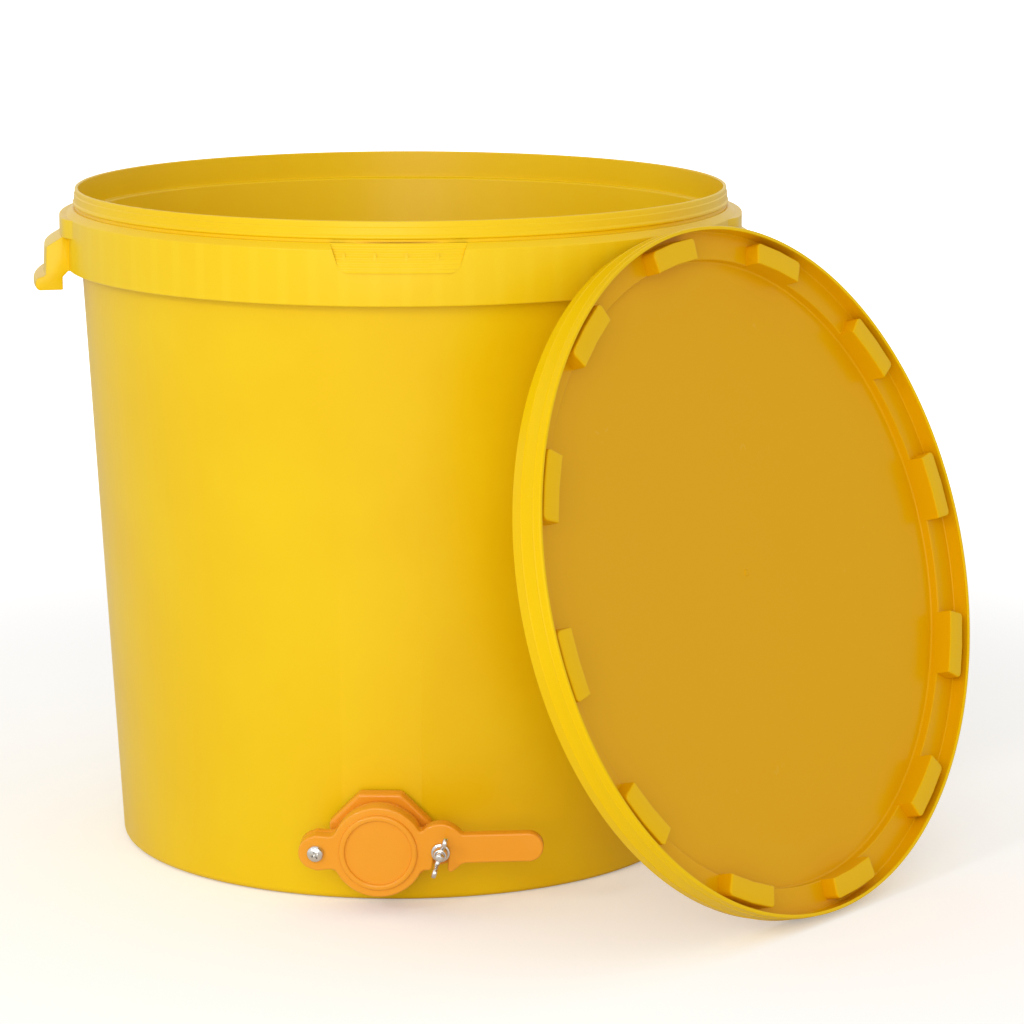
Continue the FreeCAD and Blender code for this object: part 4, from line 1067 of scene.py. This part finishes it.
def make_floor():
    """Pale floor that keeps the shadow near the tank and runs out into white."""
    mesh = bpy.data.meshes.new("floor")
    size = 12.0
    corners = [(-size, -size, 0), (size, -size, 0), (size, size, 0), (-size, size, 0)]
    mesh.from_pydata(corners, [], [(0, 1, 2, 3)])
    floor = bpy.data.objects.new("floor", mesh)
    floor.location.z = -0.0002
    bpy.context.scene.collection.objects.link(floor)
    material, nodes, links, shader = new_material("floor_white")
    shader.inputs["Base Color"].default_value = (0.86, 0.86, 0.86, 1)
    shader.inputs["Roughness"].default_value = 0.9
    shader.inputs["Specular IOR Level"].default_value = 0.0
    place = nodes.new("ShaderNodeTexCoord").outputs["Object"]
    far = ramp(nodes, links, vector_node(nodes, links, "LENGTH", place, None, 1), 0.5, 1.6)
    glow = math_node(nodes, links, "ADD", math_node(nodes, links, "MULTIPLY", far, 0.7), 0.3)
    ray = nodes.new("ShaderNodeLightPath")
    seen = math_node(nodes, links, "MULTIPLY", ray.outputs["Is Camera Ray"], glow)
    links.new(seen, shader.inputs["Emission Strength"])
    shader.inputs["Emission Color"].default_value = (1, 1, 1, 1)
    mesh.materials.append(material)


def make_world():
    world = bpy.data.worlds.new("studio")
    bpy.context.scene.world = world
    world.use_nodes = True
    nodes, links = world.node_tree.nodes, world.node_tree.links
    nodes.clear()
    ray = nodes.new("ShaderNodeLightPath")
    light = add_node(nodes, "ShaderNodeBackground", Color=(1, 1, 1, 1), Strength=0.69)
    shown = add_node(nodes, "ShaderNodeBackground", Color=(1, 1, 1, 1), Strength=1.0)
    choice = nodes.new("ShaderNodeMixShader")
    output = nodes.new("ShaderNodeOutputWorld")
    direct = math_node(
        nodes, links, "MAXIMUM", ray.outputs["Is Camera Ray"], ray.outputs["Is Glossy Ray"]
    )
    links.new(direct, choice.inputs[0])
    links.new(light.outputs[0], choice.inputs[1])
    links.new(shown.outputs[0], choice.inputs[2])
    links.new(choice.outputs[0], output.inputs["Surface"])


def area_lamp(name, place, target, size, power, colour=(1, 1, 1)):
    lamp = bpy.data.lights.new(name, "AREA")
    lamp.shape = "RECTANGLE"
    lamp.size, lamp.size_y = size
    lamp.energy = power
    lamp.color = colour
    thing = bpy.data.objects.new(name, lamp)
    thing.location = place
    thing.rotation_euler = (Vector(target) - Vector(place)).to_track_quat("-Z", "Y").to_euler()
    bpy.context.scene.collection.objects.link(thing)


def make_camera():
    """Camera at the photograph's viewing angle. It aims a little past the tank's axis."""
    focal_pixels, picture_pixels = 3965.2, 1024
    distance, height = 2.2506, 0.618
    azimuth, down, aside = 4.239, 10.903, 1.605
    camera = bpy.data.cameras.new("camera")
    camera.sensor_width = 36.0
    camera.lens = focal_pixels / picture_pixels * 36.0
    camera.clip_end = 50
    thing = bpy.data.objects.new("camera", camera)
    turn = math.radians(azimuth)
    thing.location = (distance * math.sin(turn), -distance * math.cos(turn), height)
    thing.rotation_euler = (math.radians(90 - down), 0, math.radians(azimuth - aside))
    bpy.context.scene.collection.objects.link(thing)
    bpy.context.scene.camera = thing


bpy.context.scene.view_settings.view_transform = "Standard"
make_floor()
make_world()
area_lamp("key", (-1.56, -2.23, 1.5), (0, 0, 0.2), (0.4, 0.4), 10)
area_lamp("fill", (-0.1, -3.0, 0.9), (0.1, 0, 0.2), (1.6, 1.6), 29, (1.0, 0.95, 0.88))
make_camera()
